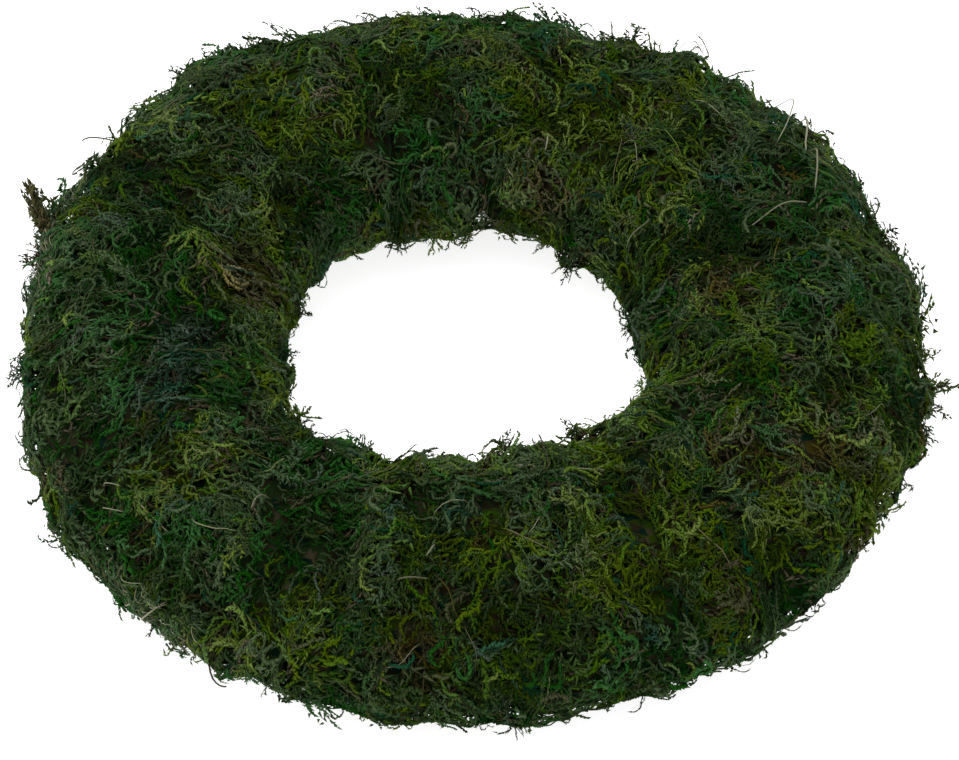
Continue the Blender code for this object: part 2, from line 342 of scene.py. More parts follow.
floor_shape = bmesh.new()
bmesh.ops.create_grid(floor_shape, x_segments=1, y_segments=1, size=FLOOR_HALF_WIDTH)
floor = new_object("floor", new_mesh("floor", floor_shape))
white, white_tree = make_material("white_floor")
finish_material(white_tree, {
    "Base Color": (FLOOR_WHITE, FLOOR_WHITE, FLOOR_WHITE, 1),
    "Roughness": 0.9,
    "Emission Color": (1, 1, 1, 1),
    "Emission Strength": FLOOR_GLOW,
})
floor.data.materials.append(white)
print("lamps", [lamp[0] for lamp in LAMPS])

# %% [markdown]
# ## Straw and wire
#
# Both are hidden but for the narrow gap beneath the wreath. The straw ring is a bundle of stalks
# that run along the ring, so its pattern is noise that is stretched along it. A picture of straw
# would do as well, but noise needs no picture. The wire is thin and lacquered green.

# %% Straw and wire
STRAW_STRETCH = (14, 900)
STRAW_COLOURS = (
    # place, colour
    (0.30, (0.16, 0.10, 0.035)),
    (0.48, (0.42, 0.30, 0.12)),
    (0.70, (0.62, 0.50, 0.26)),
)
LACQUER_SCALE = 260.0
LACQUER_COLOURS = (
    (0.42, (0.010, 0.034, 0.016)),
    (0.62, (0.020, 0.060, 0.026)),
    (0.74, (0.09, 0.08, 0.06)),
)


def stretched_along_ring(tree, along, across):
    """Coordinates that follow the ring, so that noise on them runs along it."""
    parts = tree.split(tree.add("ShaderNodeTexCoord", output="Object"))
    x, y, z = (parts[name] for name in "XYZ")
    turn = tree.maths("ARCTAN2", y, x)
    radius = tree.maths("SQRT", x * x + y * y)
    return tree.combine(turn * along, radius * across, z * across)


def make_straw():
    material, tree = make_material("wound_straw")
    stalks = tree.noise(stretched_along_ring(tree, *STRAW_STRETCH), scale=1.0, detail=3.0)
    colour = tree.add("ShaderNodeValToRGB", {"stops": STRAW_COLOURS}, {"Fac": stalks})
    values = {"Strength": 0.8, "Distance": 0.0008, "Height": stalks}
    bump = tree.add("ShaderNodeBump", values=values)
    finish_material(tree, {"Base Color": colour, "Roughness": 0.75 - 0.2 * stalks, "Normal": bump})
    return material


def make_wire_lacquer():
    material, tree = make_material("green_lacquer")
    place = tree.add("ShaderNodeTexCoord", output="Object")
    worn = tree.noise(place, scale=LACQUER_SCALE, detail=2.0)
    colour = tree.add("ShaderNodeValToRGB", {"stops": LACQUER_COLOURS}, {"Fac": worn})
    finish_material(tree, {"Base Color": colour, "Roughness": 0.25 + 0.35 * worn, "Metallic": 0.6})
    return material


def put_material(node, material):
    frame["nodes"][node].data.materials.clear()
    frame["nodes"][node].data.materials.append(material)


put_material("wreath_form", make_straw())
put_material("binding_wire", make_wire_lacquer())
print("carried-over nodes finished: wreath_form, binding_wire")

# %% [markdown]
# ## The colours of moss
#
# Dried moss isn't one green. Each stem has its own colour, and patches of it are teal, leaf green,
# olive, yellow, brown or nearly black. Painting each stem would take one material a colour. Instead
# every stem has a place on one colour chart. Its u picks the colour and its v how light it is, so
# one material dresses them all, and the export can bake it.

# %% Moss material
CHART_MAP = "OFBake"
HUES = (
    # place on the chart, colour
    (0.00, (0.028, 0.021, 0.012)),
    (0.08, (0.064, 0.050, 0.027)),
    (0.16, (0.200, 0.196, 0.128)),
    (0.24, (0.125, 0.105, 0.016)),
    (0.34, (0.060, 0.052, 0.028)),
    (0.44, (0.056, 0.072, 0.026)),
    (0.52, (0.078, 0.126, 0.001)),
    (0.55, (0.044, 0.108, 0.004)),
    (0.58, (0.042, 0.070, 0.022)),
    (0.64, (0.035, 0.064, 0.024)),
    (0.69, (0.006, 0.074, 0.002)),
    (0.75, (0.024, 0.052, 0.020)),
    (0.82, (0.044, 0.066, 0.042)),
    (0.91, (0.004, 0.064, 0.024)),
    (1.00, (0.010, 0.026, 0.020)),
)
DARKEST, LIGHTEST = 0.25, 1.86
LEAFLETS = 150.0
LEAFLET_DARK, LEAFLET_RANGE = 0.85, 0.3
RICHEST, PALER = 1.20, 0.46
ON_CHART = 0.003  # the width of a stem or a leaf on the chart


def make_moss():
    material, tree = make_material("dried_moss")
    chart = tree.add("ShaderNodeUVMap", {"uv_map": CHART_MAP})
    parts = tree.split(chart)
    hue, light = parts["X"], parts["Y"]
    colour = tree.add("ShaderNodeValToRGB", {"stops": HUES}, {"Fac": hue})
    fine = tree.noise(chart, scale=LEAFLETS, detail=1.0)
    leaflets = LEAFLET_DARK + LEAFLET_RANGE * fine
    strength = (DARKEST + (LIGHTEST - DARKEST) * light) * leaflets
    values = {"Color": colour * strength, "Saturation": RICHEST - PALER * light}
    shaded = tree.add("ShaderNodeHueSaturation", values=values)
    finish_material(tree, {"Base Color": shaded, "Roughness": 0.88, "Specular IOR Level": 0.05})
    return material


moss = make_moss()
print("moss chart", len(HUES), "colours")

# %% [markdown]
# ## Swells, creases and clumps
#
# Handfuls of moss swell and sink, creases run between them, and at the outline some stand out or
# lie low. A sculptor would push all this in by eye. Here soft noise makes the swells, and every
# crease and clump is a place and a size, so that one function gives the height anywhere.

# %% Swells, creases and clumps
NOISE_GAIN = 1.6
RELIEF = ((0.016, 0.0026), (0.0065, 0.0010))  # size and height of its swells
RELIEF_SHIFT = 1.9
CREASES = (
    # angle and around in degrees, heading in degrees from along the ring, length, width, depth
    (12, 107, 62, 0.030, 0.0032, 0.0050),
    (141, 137, 115, 0.026, 0.0030, 0.0045),
    (50, 60, 20, 0.022, 0.0030, 0.0030),
    (232, 118, 130, 0.024, 0.0030, 0.0030),
    (293, 96, 80, 0.022, 0.0028, 0.0030),
    (174, 78, 60, 0.026, 0.0030, 0.0030),
)


def swing(point, sizes_and_reaches, shift):
    """Soft noise of several sizes, added up."""
    away = Vector((shift, 0, 0))
    swells = ((reach, noise.noise(point / size + away)) for size, reach in sizes_and_reaches)
    return sum(reach * NOISE_GAIN * swell for reach, swell in swells)


def ahead_and_round(angle, around):
    """Unit vectors on the surface: along the ring, and round its section."""
    ahead = Vector((-math.sin(angle), math.cos(angle), 0))
    step, lift = 0.01, 0.02
    round_way = moss_point(angle, around + step, lift) - moss_point(angle, around - step, lift)
    return ahead, round_way.normalized()


def crease_line(angle, around, heading, length, width, depth):
    angle, around, heading = (math.radians(value) for value in (angle, around, heading))
    ahead, round_way = ahead_and_round(angle, around)
    way = ahead * math.cos(heading) + round_way * math.sin(heading)
    return moss_point(angle, around), way, length, width, depth


crease_lines = [crease_line(*crease) for crease in CREASES]


def relief(point):
    """How far the handfuls of moss stand up or sink in here, in metres."""
    height = swing(point, RELIEF, RELIEF_SHIFT)
    for start, way, length, width, depth in crease_lines:
        along = (point - start).dot(way)
        off = (point - start - way * along).length
        height -= depth * math.exp(-((off / width) ** 2) - (2 * along / length) ** 4)
    return height


# Angle and around in degrees, size and height in tenths of a millimetre
CLUMPS = (
    (165, 18, 40, 30), (151, 18, 80, -28), (160, 30, 70, -28), (168, 6, 70, -20),
    (243, -22, 100, -20), (226, -16, 80, -12), (176, 188, 40, -15), (52, 198, 50, 15),
    (310, -14, 80, -10), (7, 4, 60, 15), (12, 188, 50, 20), (13, 14, 60, 12), (31, 24, 50, 15),
    (38, 28, 60, -25), (43, 198, 50, -20), (44, 30, 90, -30), (52, 198, 50, 30), (55, 42, 90, 35),
    (53, 44, 70, 22), (33, 28, 60, 22), (201, 166, 60, 25), (54, 198, 60, 20), (70, 198, 60, 15),
    (109, 196, 70, 15), (282, 148, 60, 15), (120, 36, 40, 25), (129, 22, 60, 15),
    (173, 194, 50, -25), (239, 138, 60, -20), (325, 156, 60, -20), (247, -8, 90, -22),
    (230, -10, 60, -12), (44, 34, 70, -18), (65, 28, 50, 15), (72, 32, 50, -15), (80, 38, 70, -15),
    (84, 194, 100, 10), (111, 198, 60, 20), (116, 40, 70, -30), (121, 34, 50, -20),
    (124, 24, 70, 15), (132, 30, 40, 15), (136, 22, 60, -15), (139, 198, 60, 15),
    (146, 26, 70, -20), (158, 32, 90, -25), (172, 18, 90, -35), (176, 188, 40, -25),
    (181, 190, 50, 30), (191, 10, 80, -20), (197, 6, 80, -20), (204, 6, 90, -20),
    (208, -12, 50, -15), (216, -22, 80, 15), (219, 152, 50, -30), (224, -22, 70, -15),
    (227, 160, 50, -25), (237, -12, 70, -20), (243, -22, 90, -40), (244, 150, 60, 20),
    (248, -26, 60, -25), (261, 142, 40, -15), (262, -24, 70, -20), (271, 158, 40, -15),
    (278, -22, 90, 15), (279, 150, 50, 25), (294, -18, 60, 30), (305, 156, 40, 20),
    (310, -14, 80, -15), (317, 158, 50, -25), (323, 150, 40, -15), (324, -18, 60, -15),
    (333, -16, 50, -30), (343, -4, 60, 20), (351, -2, 80, 30), (84, 180, 50, 12),
    (249, 15, 50, 12), (34, 24, 60, 12), (44, 28, 60, -20), (44, 198, 60, -22), (53, 32, 50, 16),
    (57, 198, 50, 14), (78, 40, 80, -14), (111, 198, 50, 10), (124, 38, 40, 14),
    (139, 36, 60, -14), (143, 196, 50, 12), (156, 26, 80, -16), (168, 12, 70, -22),
    (181, 182, 40, -14), (186, 10, 50, 10), (198, -6, 70, -14), (200, 168, 40, 18),
    (211, -12, 60, 14), (228, 154, 60, -22), (235, -20, 60, -12), (245, -18, 90, -18),
    (247, 146, 40, 12), (261, 148, 40, -18), (273, 150, 40, -14), (279, 150, 40, 12),
    (307, 150, 50, -16), (309, -17, 80, -14), (313, 150, 40, 14), (323, -14, 60, 16),
    (330, -14, 60, -16),
)
TENTHS = 10000
CLUMP_REACH = 2.5
BED_DROP = 0.0007


def moss_place(angle, around):
    """The point of the surface at a place in degrees."""
    return moss_point(math.radians(angle), math.radians(around))


clump_places = [(moss_place(*row[:2]), row[2] / TENTHS, row[3] / TENTHS) for row in CLUMPS]


def clump(point):
    """How far the handfuls at the outline stand out or lie low here, in metres."""
    near = [((point - place).length / size, high) for place, size, high in clump_places]
    return sum(high * math.exp(-(share**2)) for share, high in near if share < CLUMP_REACH)


def bed_point(angle, around, lift=0.0):
    """A point above the bed of the moss."""
    point = moss_point(angle, around)
    height = lump(angle, around) + relief(point) + clump(point)
    return moss_point(angle, around, height - BED_DROP + lift)


print("creases", len(crease_lines), "clumps", len(clump_places))

# %% [markdown]
# ## The surface that the moss lies on
#
# Every stem has to bend over the ring. A hidden guide gives that surface: a closed grid round the
# ring. Each of its points stores the place on the lumpy moss and the outward direction there, while
# the grid itself lies smooth and deeper, so that neighbouring points of a stem never find places
# far apart. It is made in mesh code, because it follows the ring's own formula, and it is deleted
# when the moss is done.

# %% Guide
GUIDE_STEPS = (400, 110)
GUIDE_DEPTH = 0.010


def add_values(mesh, name, values):
    """Stores a number or a vector at each point of a mesh."""
    kind, field = (VECTOR, "vector") if is_vector(values[0]) else ("FLOAT", "value")
    layer = mesh.attributes.new(name, kind, "POINT")
    for entry, value in zip(layer.data, values):
        setattr(entry, field, value)


def make_guide():
    bm = bmesh.new()
    turns, rounds = GUIDE_STEPS
    rows, smooth = [], []
    for turn in range(turns):
        angle = math.tau * turn / turns
        places = [math.tau * step / rounds + BOTTOM for step in range(rounds)]
        rows.append([bm.verts.new(bed_point(angle, around)) for around in places])
        smooth += [moss_point(angle, around, -GUIDE_DEPTH) for around in places]
    for turn, row in enumerate(rows):
        after = rows[(turn + 1) % turns]
        for step in range(rounds):
            beside = (step + 1) % rounds
            bm.faces.new((row[step], after[step], after[beside], row[beside]))
    bmesh.ops.recalc_face_normals(bm, faces=bm.faces)
    guide = new_mesh("moss_guide", bm)
    surface = [vertex.co.copy() for vertex in guide.vertices]
    guide.vertices.foreach_set("co", [number for place in smooth for number in place])
    guide.update()
    add_values(guide, "outward", [vertex.normal.copy() for vertex in guide.vertices])
    add_values(guide, "surface", surface)
    return new_object("moss_guide", guide)


guide = make_guide()
print("guide", len(guide.data.vertices), "points")

# %% [markdown]
# ## Patches of colour
#
# Moss from one wood is still patchy: tufts of yellow-green and blue-green, and dry brown spots.
# Bright rims where the light falls in, and places only lighter or darker, are painted light and
# shade. Real handfuls are picked and turned until they look well.
# Here soft noise gives the base, and patches given one by one pull it to one colour or light.

# %% Patches
HUE_BASE, LIGHT_BASE = 0.605, 0.36
HUE_SWINGS = ((0.034, 0.08), (0.012, 0.06))
LIGHT_SWINGS = ((0.030, 0.22), (0.010, 0.24))
HUE_SHIFT, LIGHT_SHIFT = 3.7, 9.1
HUE_RANGE, LIGHT_RANGE = (0.03, 0.97), (0.04, 0.9)
# Painted shade and light: the hollows of the relief are darker, the humps lighter.
RELIEF_SHADING = 75.0
# Angle, around, size in tenths of a millimetre, place on the chart, strength, lighter by. The last
# column is partly each patch's own tone and partly painted light, on the flanks and on the rim
# tufts at the back right that light shines through.
PATCHES = (
    (196, 112, 160, 0.91, 0.9, 0.1), (207, 82, 130, 0.91, 0.8, 0.06),
    (170, 60, 140, 0.82, 0.6, 0.05), (68, 82, 80, 0.55, 0.9, 0.34), (42, 103, 70, 0.54, 0.9, 0.3),
    (354, 69, 80, 0.55, 0.9, 0.36), (349, 52, 70, 0.545, 0.8, 0.32), (8, 37, 90, 0.55, 0.8, 0.32),
    (244, 28, 80, 0.53, 0.9, 0.46), (247, 42, 60, 0.52, 0.8, 0.38), (251, 27, 60, 0.53, 0.8, 0.38),
    (256, 69, 70, 0.56, 0.8, 0.26), (282, 46, 90, 0.555, 0.9, 0.32), (275, 31, 70, 0.55, 0.8, 0.3),
    (223, 71, 70, 0.42, 0.8, 0.14), (332, 10, 180, 0.44, 0.8, 0.08),
    (317, 53, 140, 0.44, 0.7, 0.04), (170, 129, 120, 0.06, 0.7, 0.06),
    (318, 86, 90, 0.08, 0.8, 0.08), (328, 61, 90, 0.08, 0.7, 0.08), (305, 38, 80, 0.08, 0.7, 0.08),
    (0, 114, 100, 0.06, 0.7, 0.04), (263, 37, 80, 0.08, 0.7, 0.04),
    (69, 163, 100, 0.06, 0.7, 0.04), (355, 27, 40, 0.1, 0.9, 0.2), (267, 66, 35, 0.07, 0.9, 0.1),
    (269, 38, 50, 0.88, 0.9, 0.14), (266, 46, 40, 0.04, 0.8, 0), (57, 44, 90, 0.545, 0.7, 0.32),
    (157, 14, 110, 0.82, 0.7, 0.14), (44, 26, 100, 0.52, 0.6, 0.28), (36, 26, 80, 0.55, 0.8, 0.3),
    (29, 26, 80, 0.52, 0.8, 0.26), (22, 22, 70, 0.53, 0.8, 0.24), (50, 60, 60, 0.51, 0.8, 0.3),
    (46, 62, 50, 0.53, 0.8, 0.34), (168, 18, 140, 0.62, 0.4, 0.26), (8, 26, 120, 0.54, 0.5, 0.2),
    (0, 20, 100, 0.54, 0.5, 0.18), (352, 26, 140, 0.56, 0.3, 0.1),
)
# Painted light and shade, places that are only lighter or darker: angle, around, size, lighter by
PAINTED_LIGHT_PATCHES = (
    (270, 70, 350, -0.07), (300, 60, 250, -0.04), (240, 75, 200, -0.06), (246, 48, 140, -0.16),
    (281, 16, 300, -0.06), (262, 18, 300, -0.06), (219, 92, 140, -0.26), (255, 16, 140, -0.08),
    (351, 14, 140, 0.1), (180, 25, 250, 0.16), (125, 186, 160, 0.14), (60, 190, 160, 0.12),
    (240, 140, 120, 0.12), (142, 134, 180, -0.16), (73, 165, 180, -0.14), (8, 136, 160, -0.17),
    (114, 114, 180, -0.06), (279, 90, 160, -0.12), (323, 30, 140, -0.1), (196, 20, 350, 0.06),
    (165, 20, 250, 0.24), (143, 28, 220, 0.22), (128, 38, 220, 0.2), (223, -4, 220, 0.2),
    (263, 152, 120, 0.26), (305, 142, 120, 0.22), (38, 190, 120, 0.18), (100, 40, 200, 0.06),
    (50, 40, 200, 0.1), (72, 45, 160, 0.1), (130, 102, 140, -0.11), (77, 120, 140, -0.06),
    (47, 142, 140, -0.08), (235, 28, 140, -0.06), (258, 14, 140, -0.05), (276, 18, 120, -0.05),
    (140, 126, 120, -0.07), (76, 160, 120, -0.07), (247, 40, 120, -0.07), (288, 52, 140, -0.06),
    (257, 24, 140, -0.04), (268, 20, 140, -0.04), (115, 120, 120, -0.04), (119, 150, 140, -0.05),
    (136, 40, 120, 0.1), (160, 50, 180, 0.1), (162, 32, 120, 0.08), (176, 24, 140, 0.08),
    (224, 0, 140, 0.1), (198, 14, 140, 0.08), (208, 4, 140, 0.08), (78, 44, 140, 0.08),
    (66, 44, 120, 0.06),
)
# Painted highlights: thin yellow-green tips at the rims, lighter where the light catches them:
# angle, around, lighter by
RIM_HIGHLIGHTS = (
    (219, 152, 0.26), (205, 160, 0.1), (190, 172, 0.14), (177, 176, 0.24), (156, 178, 0.26),
    (119, 196, 0.28), (104, 196, 0.36), (92, 196, 0.36), (71, 198, 0.16), (37, 198, 0.16),
    (15, 182, 0.24), (351, 174, 0.14), (264, 128, 0.12), (273, 142, 0.26), (281, 142, 0.22),
    (289, 132, 0.14), (297, 144, 0.26), (305, 146, 0.38), (312, 144, 0.28), (247, 132, 0.1),
    (266, 148, 0.22),
)
RIM_HIGHLIGHT_PATCH = (110, 0.525, 0.75)  # size, place on the chart, strength


def patch_places():
    """All patches: their place as a point, size in metres, place on the chart, strength, light."""
    rims = [(angle, around, *RIM_HIGHLIGHT_PATCH, lighter) for angle, around, lighter in RIM_HIGHLIGHTS]
    lights = [(*place, size, 0, 0, lighter) for *place, size, lighter in PAINTED_LIGHT_PATCHES]
    for angle, around, size, *values in (*PATCHES, *rims, *lights):
        yield moss_place(angle, around), size / TENTHS, *values


patches = list(patch_places())


def clamp(value, low, high):
    return min(max(value, low), high)


def chart_place(point):
    """The moss's place on the colour chart here, with painted shade: hollows darker than humps."""
    hue = HUE_BASE + swing(point, HUE_SWINGS, HUE_SHIFT)
    light = LIGHT_BASE + swing(point, LIGHT_SWINGS, LIGHT_SHIFT) + RELIEF_SHADING * relief(point)
    for place, size, patch_hue, strength, lighter in patches:
        near = math.exp(-(((point - place).length / size) ** 2))
        hue += strength * near * (patch_hue - hue)
        light += near * lighter
    return clamp(hue, *HUE_RANGE), clamp(light, *LIGHT_RANGE)


print("patches of colour", len(patches))

# %% [markdown]
# ## The bed of each mat
#
# A real handful of moss is a dense tangle with loose stems on top. The bed is that tangle: a
# closed strip that goes once round the straw from one turn of wire to the next, as the solid mat
# does. It is coloured nearly black, as painted shade of the gaps between the stems. Its points also
# carry what the stems need to know: which way they are combed, how thickly they grow, how high they
# rise, and their place on the colour chart.

# %% Mat beds
WIRE_RADIUS = 0.00045
GAP = 0.0003
SKIRT_INSIDE = 0.0020
SKIRT_OUTSIDE = 0.0031
SEAM_HALF_WIDTH = 0.6 * GAP
GROOVE_HALF_WIDTH = WIRE_RADIUS + 1.2 * GAP
SHOULDER_DISTANCE = 0.0018
SHOULDER_DROP = 0.0024
BUTT_GAP = 0.0024
BED_ROUNDS = 60
BED_ACROSS = 14
BED_SINK = 0.0011
SEAM_CROWD = 0.22
SEAM_STEEPNESS = 5
REACH_ALONG, REACH_ROUND = math.radians(1.0), math.radians(2.8)
COMB_SWINGS = ((0.040, math.radians(150)), (0.015, math.radians(70)))
COMB_SHIFT = 5.3
UNDERSIDE = -0.75  # sine of the angle round the section
UNDER_FILL = 0.25
SIDE_FILL = 0.6
FILL_SLOPE = 0.8
LOOSE_FROM = -0.95
LOOSE_SLOPE = 1.2
LEAST_LOOSE = 0.1
# The bed's light on the chart is near its darkest: painted shade of the gaps between the stems.
BED_LIGHT = (0.01, 0.07)
BED_LIGHT_STEP = 0.01
BED_HUES = (None, None, None, 0.98, 0.03, 0.10)  # one for each face, None for that of its place


def combed(angle, around, point):
    """The way the stems are combed: a direction on the surface that drifts from place to place."""
    ahead, round_way = ahead_and_round(angle, around)
    heading = swing(point, COMB_SWINGS, COMB_SHIFT)
    return ahead * math.cos(heading) + round_way * math.sin(heading)


def hollow(angle, around):
    """The part of the height here that hollows make, in metres."""
    point = moss_point(angle, around)
    return relief(point) + min(clump(point), 0.0)


def low_point(angle, around, lift):
    """A point of the bed, as low as the hollows next to it, so that no facet bridges them."""
    near = [(a * REACH_ALONG, r * REACH_ROUND) for a in (-1, 1) for r in (-1, 1)]
    here = hollow(angle, around)
    lowest = min(here, *(hollow(angle + aside, around + beside) for aside, beside in near))
    return bed_point(angle, around, lowest - here + lift)


def bed_stations():
    end = BUTT_GAP / (2 * FORM_HALF_WIDTH)
    step = (FAR_FOOT_EDGE - FOOT_EDGE) / BED_ROUNDS
    steps = [FOOT_EDGE + step * index for index in range(BED_ROUNDS + 1)]
    return [BOTTOM + end, *steps, BOTTOM + math.tau - end]


def near_seam(share):
    """How near a place across a bed is to a seam: 1 on the seam, 0 in the middle."""
    return max(0.0, 1 - SEAM_STEEPNESS * min(share, 1 - share))


def bed_profile(mat, around):
    """The cross-cut of a bed, as angles and points: its top, then its back on the straw."""
    start, stop = seam_angle(mat, around), seam_angle(mat + 1, around)
    middle = (start + stop) / 2
    radius = moss_point(middle, around).xy.length
    shoulder = SHOULDER_DISTANCE / radius
    line = []

    def skirt(distance, lift):
        angle = start + distance / radius if distance > 0 else stop + distance / radius
        line.append((angle, form_point(angle, around, lift)))

    skirt(SEAM_HALF_WIDTH, SKIRT_OUTSIDE)
    skirt(GROOVE_HALF_WIDTH, SKIRT_OUTSIDE)
    for index in range(BED_ACROSS + 1):
        share = index / BED_ACROSS
        angle = start + shoulder + share * (stop - start - 2 * shoulder)
        lift = -BED_SINK - SHOULDER_DROP * near_seam(share) ** 2
        line.append((angle, low_point(angle, around, lift)))
    skirt(-GROOVE_HALF_WIDTH, SKIRT_OUTSIDE)
    skirt(-SEAM_HALF_WIDTH, SKIRT_OUTSIDE)
    skirt(-SEAM_HALF_WIDTH, SKIRT_INSIDE)
    line.append((middle, form_point(middle, around, SKIRT_INSIDE)))
    skirt(SEAM_HALF_WIDTH, SKIRT_INSIDE)
    return line


def grows(around):
    """How thickly stems grow: fully on top and at the sides, thinly underneath."""
    above = math.sin(around) - UNDERSIDE
    return UNDER_FILL if above < 0 else min(1.0, SIDE_FILL + above * FILL_SLOPE)


def crowd(index):
    """How thickly stems grow across a bed: thicker beside its seams, not at all on its back."""
    if not 1 < index < BED_ACROSS + 4:
        return 0.0
    return 1 + SEAM_CROWD * near_seam(clamp((index - 2) / BED_ACROSS, 0.0, 1.0))


def make_bed(mat):
    """The bed of one mat, with the stems' own values stored at its points."""
    bm = bmesh.new()
    layers = {name: bm.verts.layers.float_vector.new(name) for name in ("comb", "chart")}
    layers |= {name: bm.verts.layers.float.new(name) for name in ("fill", "loose")}
    uv = bm.loops.layers.uv.new(CHART_MAP)
    rows = []
    for around in bed_stations():
        loose = (math.sin(around) - LOOSE_FROM) * LOOSE_SLOPE
        row = []
        for index, (angle, point) in enumerate(bed_profile(mat, around)):
            vertex = bm.verts.new(point)
            vertex[layers["comb"]] = combed(angle, around, point)
            vertex[layers["chart"]] = (*chart_place(moss_point(angle, around)), 0)
            vertex[layers["fill"]] = grows(around) * crowd(index)
            vertex[layers["loose"]] = clamp(loose, LEAST_LOOSE, 1.0)
            row.append(vertex)
        rows.append(row)
    for row, after in zip(rows, rows[1:]):
        for index in range(len(row)):
            bm.faces.new((row[index - 1], row[index], after[index], after[index - 1]))
    for end in (rows[0], rows[-1]):
        half = len(end) // 2 - 1
        bm.faces.new([*end[: half + 1], *end[-2:]])
        bm.faces.new(end[half:-1])
    bmesh.ops.recalc_face_normals(bm, faces=bm.faces)
    bmesh.ops.triangulate(bm, faces=bm.faces, ngon_method="EAR_CLIP")
    draw = random.Random(mat)
    for face in bm.faces:
        # Painted shade: every face of the bed is nearly black, as the gaps between the stems look.
        light = draw.uniform(*BED_LIGHT)
        odd = draw.choice(BED_HUES)
        for corner, loop in enumerate(face.loops):
            hue = loop.vert[layers["chart"]][0] if odd is None else odd
            aside, lighter = ON_CHART * (corner == 1), BED_LIGHT_STEP * (corner == 2)
            loop[uv].uv = (hue + aside, light + lighter)
    name = f"moss_{mat + 1:02d}"
    return new_object(name, new_mesh(name, bm))


beds = [make_bed(mat) for mat in range(MAT_COUNT)]
print("beds", len(beds), "with", len(beds[0].data.polygons), "faces each")

# %% [markdown]
# ## Drawing stems and leaves
#
# Close up, a shoot of feather moss is a stem hidden by small pointed leaves that overlap like
# scales. A leaf could be a curved blade, but hundreds of thousands of them follow, so it has only
# four faces. Each point of a drawing stores how far along its shoot it is, on which side, and how
# near to the tip of its leaf.

# %% Stems and leaves
STEM_RISE = 1.2  # height of a stem or leaf over half its width
STEM_ENDS, STEM_BELLY = 0.85, 0.2
LAST_LEAF = 0.96
LEAF_LEAN = (0.35, 0.80)
LEAF_RISES = ((0.05, 0.25), (0.0, 0.15), (0.0, 0.15))
LEAF_LENGTHS = (0.8, 1.25)
ROOT_LEAF, LEAF_SHRINK = 1.15, 0.5
TIP_STEP = 0.1


class Drawing:
    """A pattern in the making: stems and leaves along +X."""

    def __init__(self):
        self.bm = bmesh.new()
        layers = self.bm.verts.layers.float
        self.layers = [layers.new(name) for name in ("along", "across", "tip")]

    def corner(self, place, *values):
        vertex = self.bm.verts.new(place)
        for layer, value in zip(self.layers, values):
            vertex[layer] = value
        return vertex

    def ring(self, place, way, wide, along, tip):
        """Three points round a place on a stem."""
        side, up = sideways(way)
        return [
            self.corner(place + side * wide, along, 1, tip),
            self.corner(place - side * wide, along, -1, tip),
            self.corner(place + up * wide * STEM_RISE, along, 0, tip + TIP_STEP),
        ]

    def close(self, rings, end):
        self.bm.faces.new(reversed(rings[0]))
        for ring, after in zip(rings, rings[1:]):
            for index in range(3):
                self.bm.faces.new((ring[index - 1], ring[index], after[index], after[index - 1]))
        for index in range(3):
            self.bm.faces.new((rings[-1][index - 1], rings[-1][index], end))

    def stem(self, spine, width):
        """A bare stem, fullest in its middle and pointed at its end."""
        rings = []
        for index, place in enumerate(spine[:-1]):
            share = index / (len(spine) - 1)
            way = (spine[index + 1] - spine[max(index - 1, 0)]).normalized()
            wide = width * (STEM_ENDS + STEM_BELLY * math.sin(math.pi * share)) / 2
            rings.append(self.ring(place, way, wide, along=share, tip=0.5 * share))
        self.close(rings, self.corner(spine[-1], 1, 0, 0.5))

    def shoot(self, draw, spine, leaves, reach, width, start=0.0):
        """Leaves along a spine, in turn upwards, to the left and to the right."""
        steps = len(spine) - 1
        for index in range(leaves):
            share = LAST_LEAF * index / leaves
            first = int(share * steps)
            place = spine[first].lerp(spine[first + 1], share * steps - first)
            way = (spine[first + 1] - spine[first]).normalized()
            side, up = sideways(way)
            lean = (0, 1, -1)[index % 3] * draw.uniform(*LEAF_LEAN)
            rise = draw.uniform(*LEAF_RISES[index % 3])
            out = (way + side * lean + up * rise).normalized()
            taper = ROOT_LEAF - LEAF_SHRINK * share
            tip = place + out * reach * draw.uniform(*LEAF_LENGTHS) * taper
            along = start + (1 - start) * share
            ring = self.ring(place, out, width / 2, along, tip=0)
            self.close([ring], self.corner(tip, min(along + TIP_STEP, 1), 0, 1))

    def finished(self, name):
        """The drawing as a mesh of triangles."""
        bmesh.ops.recalc_face_normals(self.bm, faces=self.bm.faces)
        bmesh.ops.triangulate(self.bm, faces=self.bm.faces)
        return new_mesh(name, self.bm)


def sideways(way):
    """Unit vectors to the side of a direction and above it."""
    side = Vector((-way.y, way.x, 0)) if way.xy.length > 0.05 else Vector((0, 1, 0))
    side.normalize()
    return side, way.cross(side)


def wavy_spine(draw, steps, bend, wave, start=Vector(), heading=0.0, length=1.0):
    """Points along a stem, which bends one way and waves a little."""
    place, spine = start.copy(), [start.copy()]
    phase, cycles = draw.uniform(0, math.tau), draw.uniform(0.7, 1.6)
    for step in range(steps):
        swung = heading + bend * (step / steps - 0.5)
        swung += wave * math.sin(phase + math.tau * cycles * step / steps)
        place = place + Vector((math.cos(swung), math.sin(swung), 0)) * length / steps
        spine.append(place.copy())
    return spine


def rising_spine(steps, turn, bend):
    """Points along a curl, which leaves the surface and turns back over itself."""
    climb, heading = math.radians(70), 0.0
    place, spine = Vector((0, 0, 0)), [Vector((0, 0, 0))]
    for _ in range(steps):
        flat = Vector((math.cos(heading), math.sin(heading), 0)) * math.cos(climb)
        place = place + (flat + Vector((0, 0, math.sin(climb)))) / steps
        spine.append(place.copy())
        climb -= turn / steps
        heading += bend / steps
    return spine


curl = rising_spine(steps=5, turn=2.0, bend=0.0)
print("a curl rises to", round(max(place.z for place in curl), 2), "of its length")

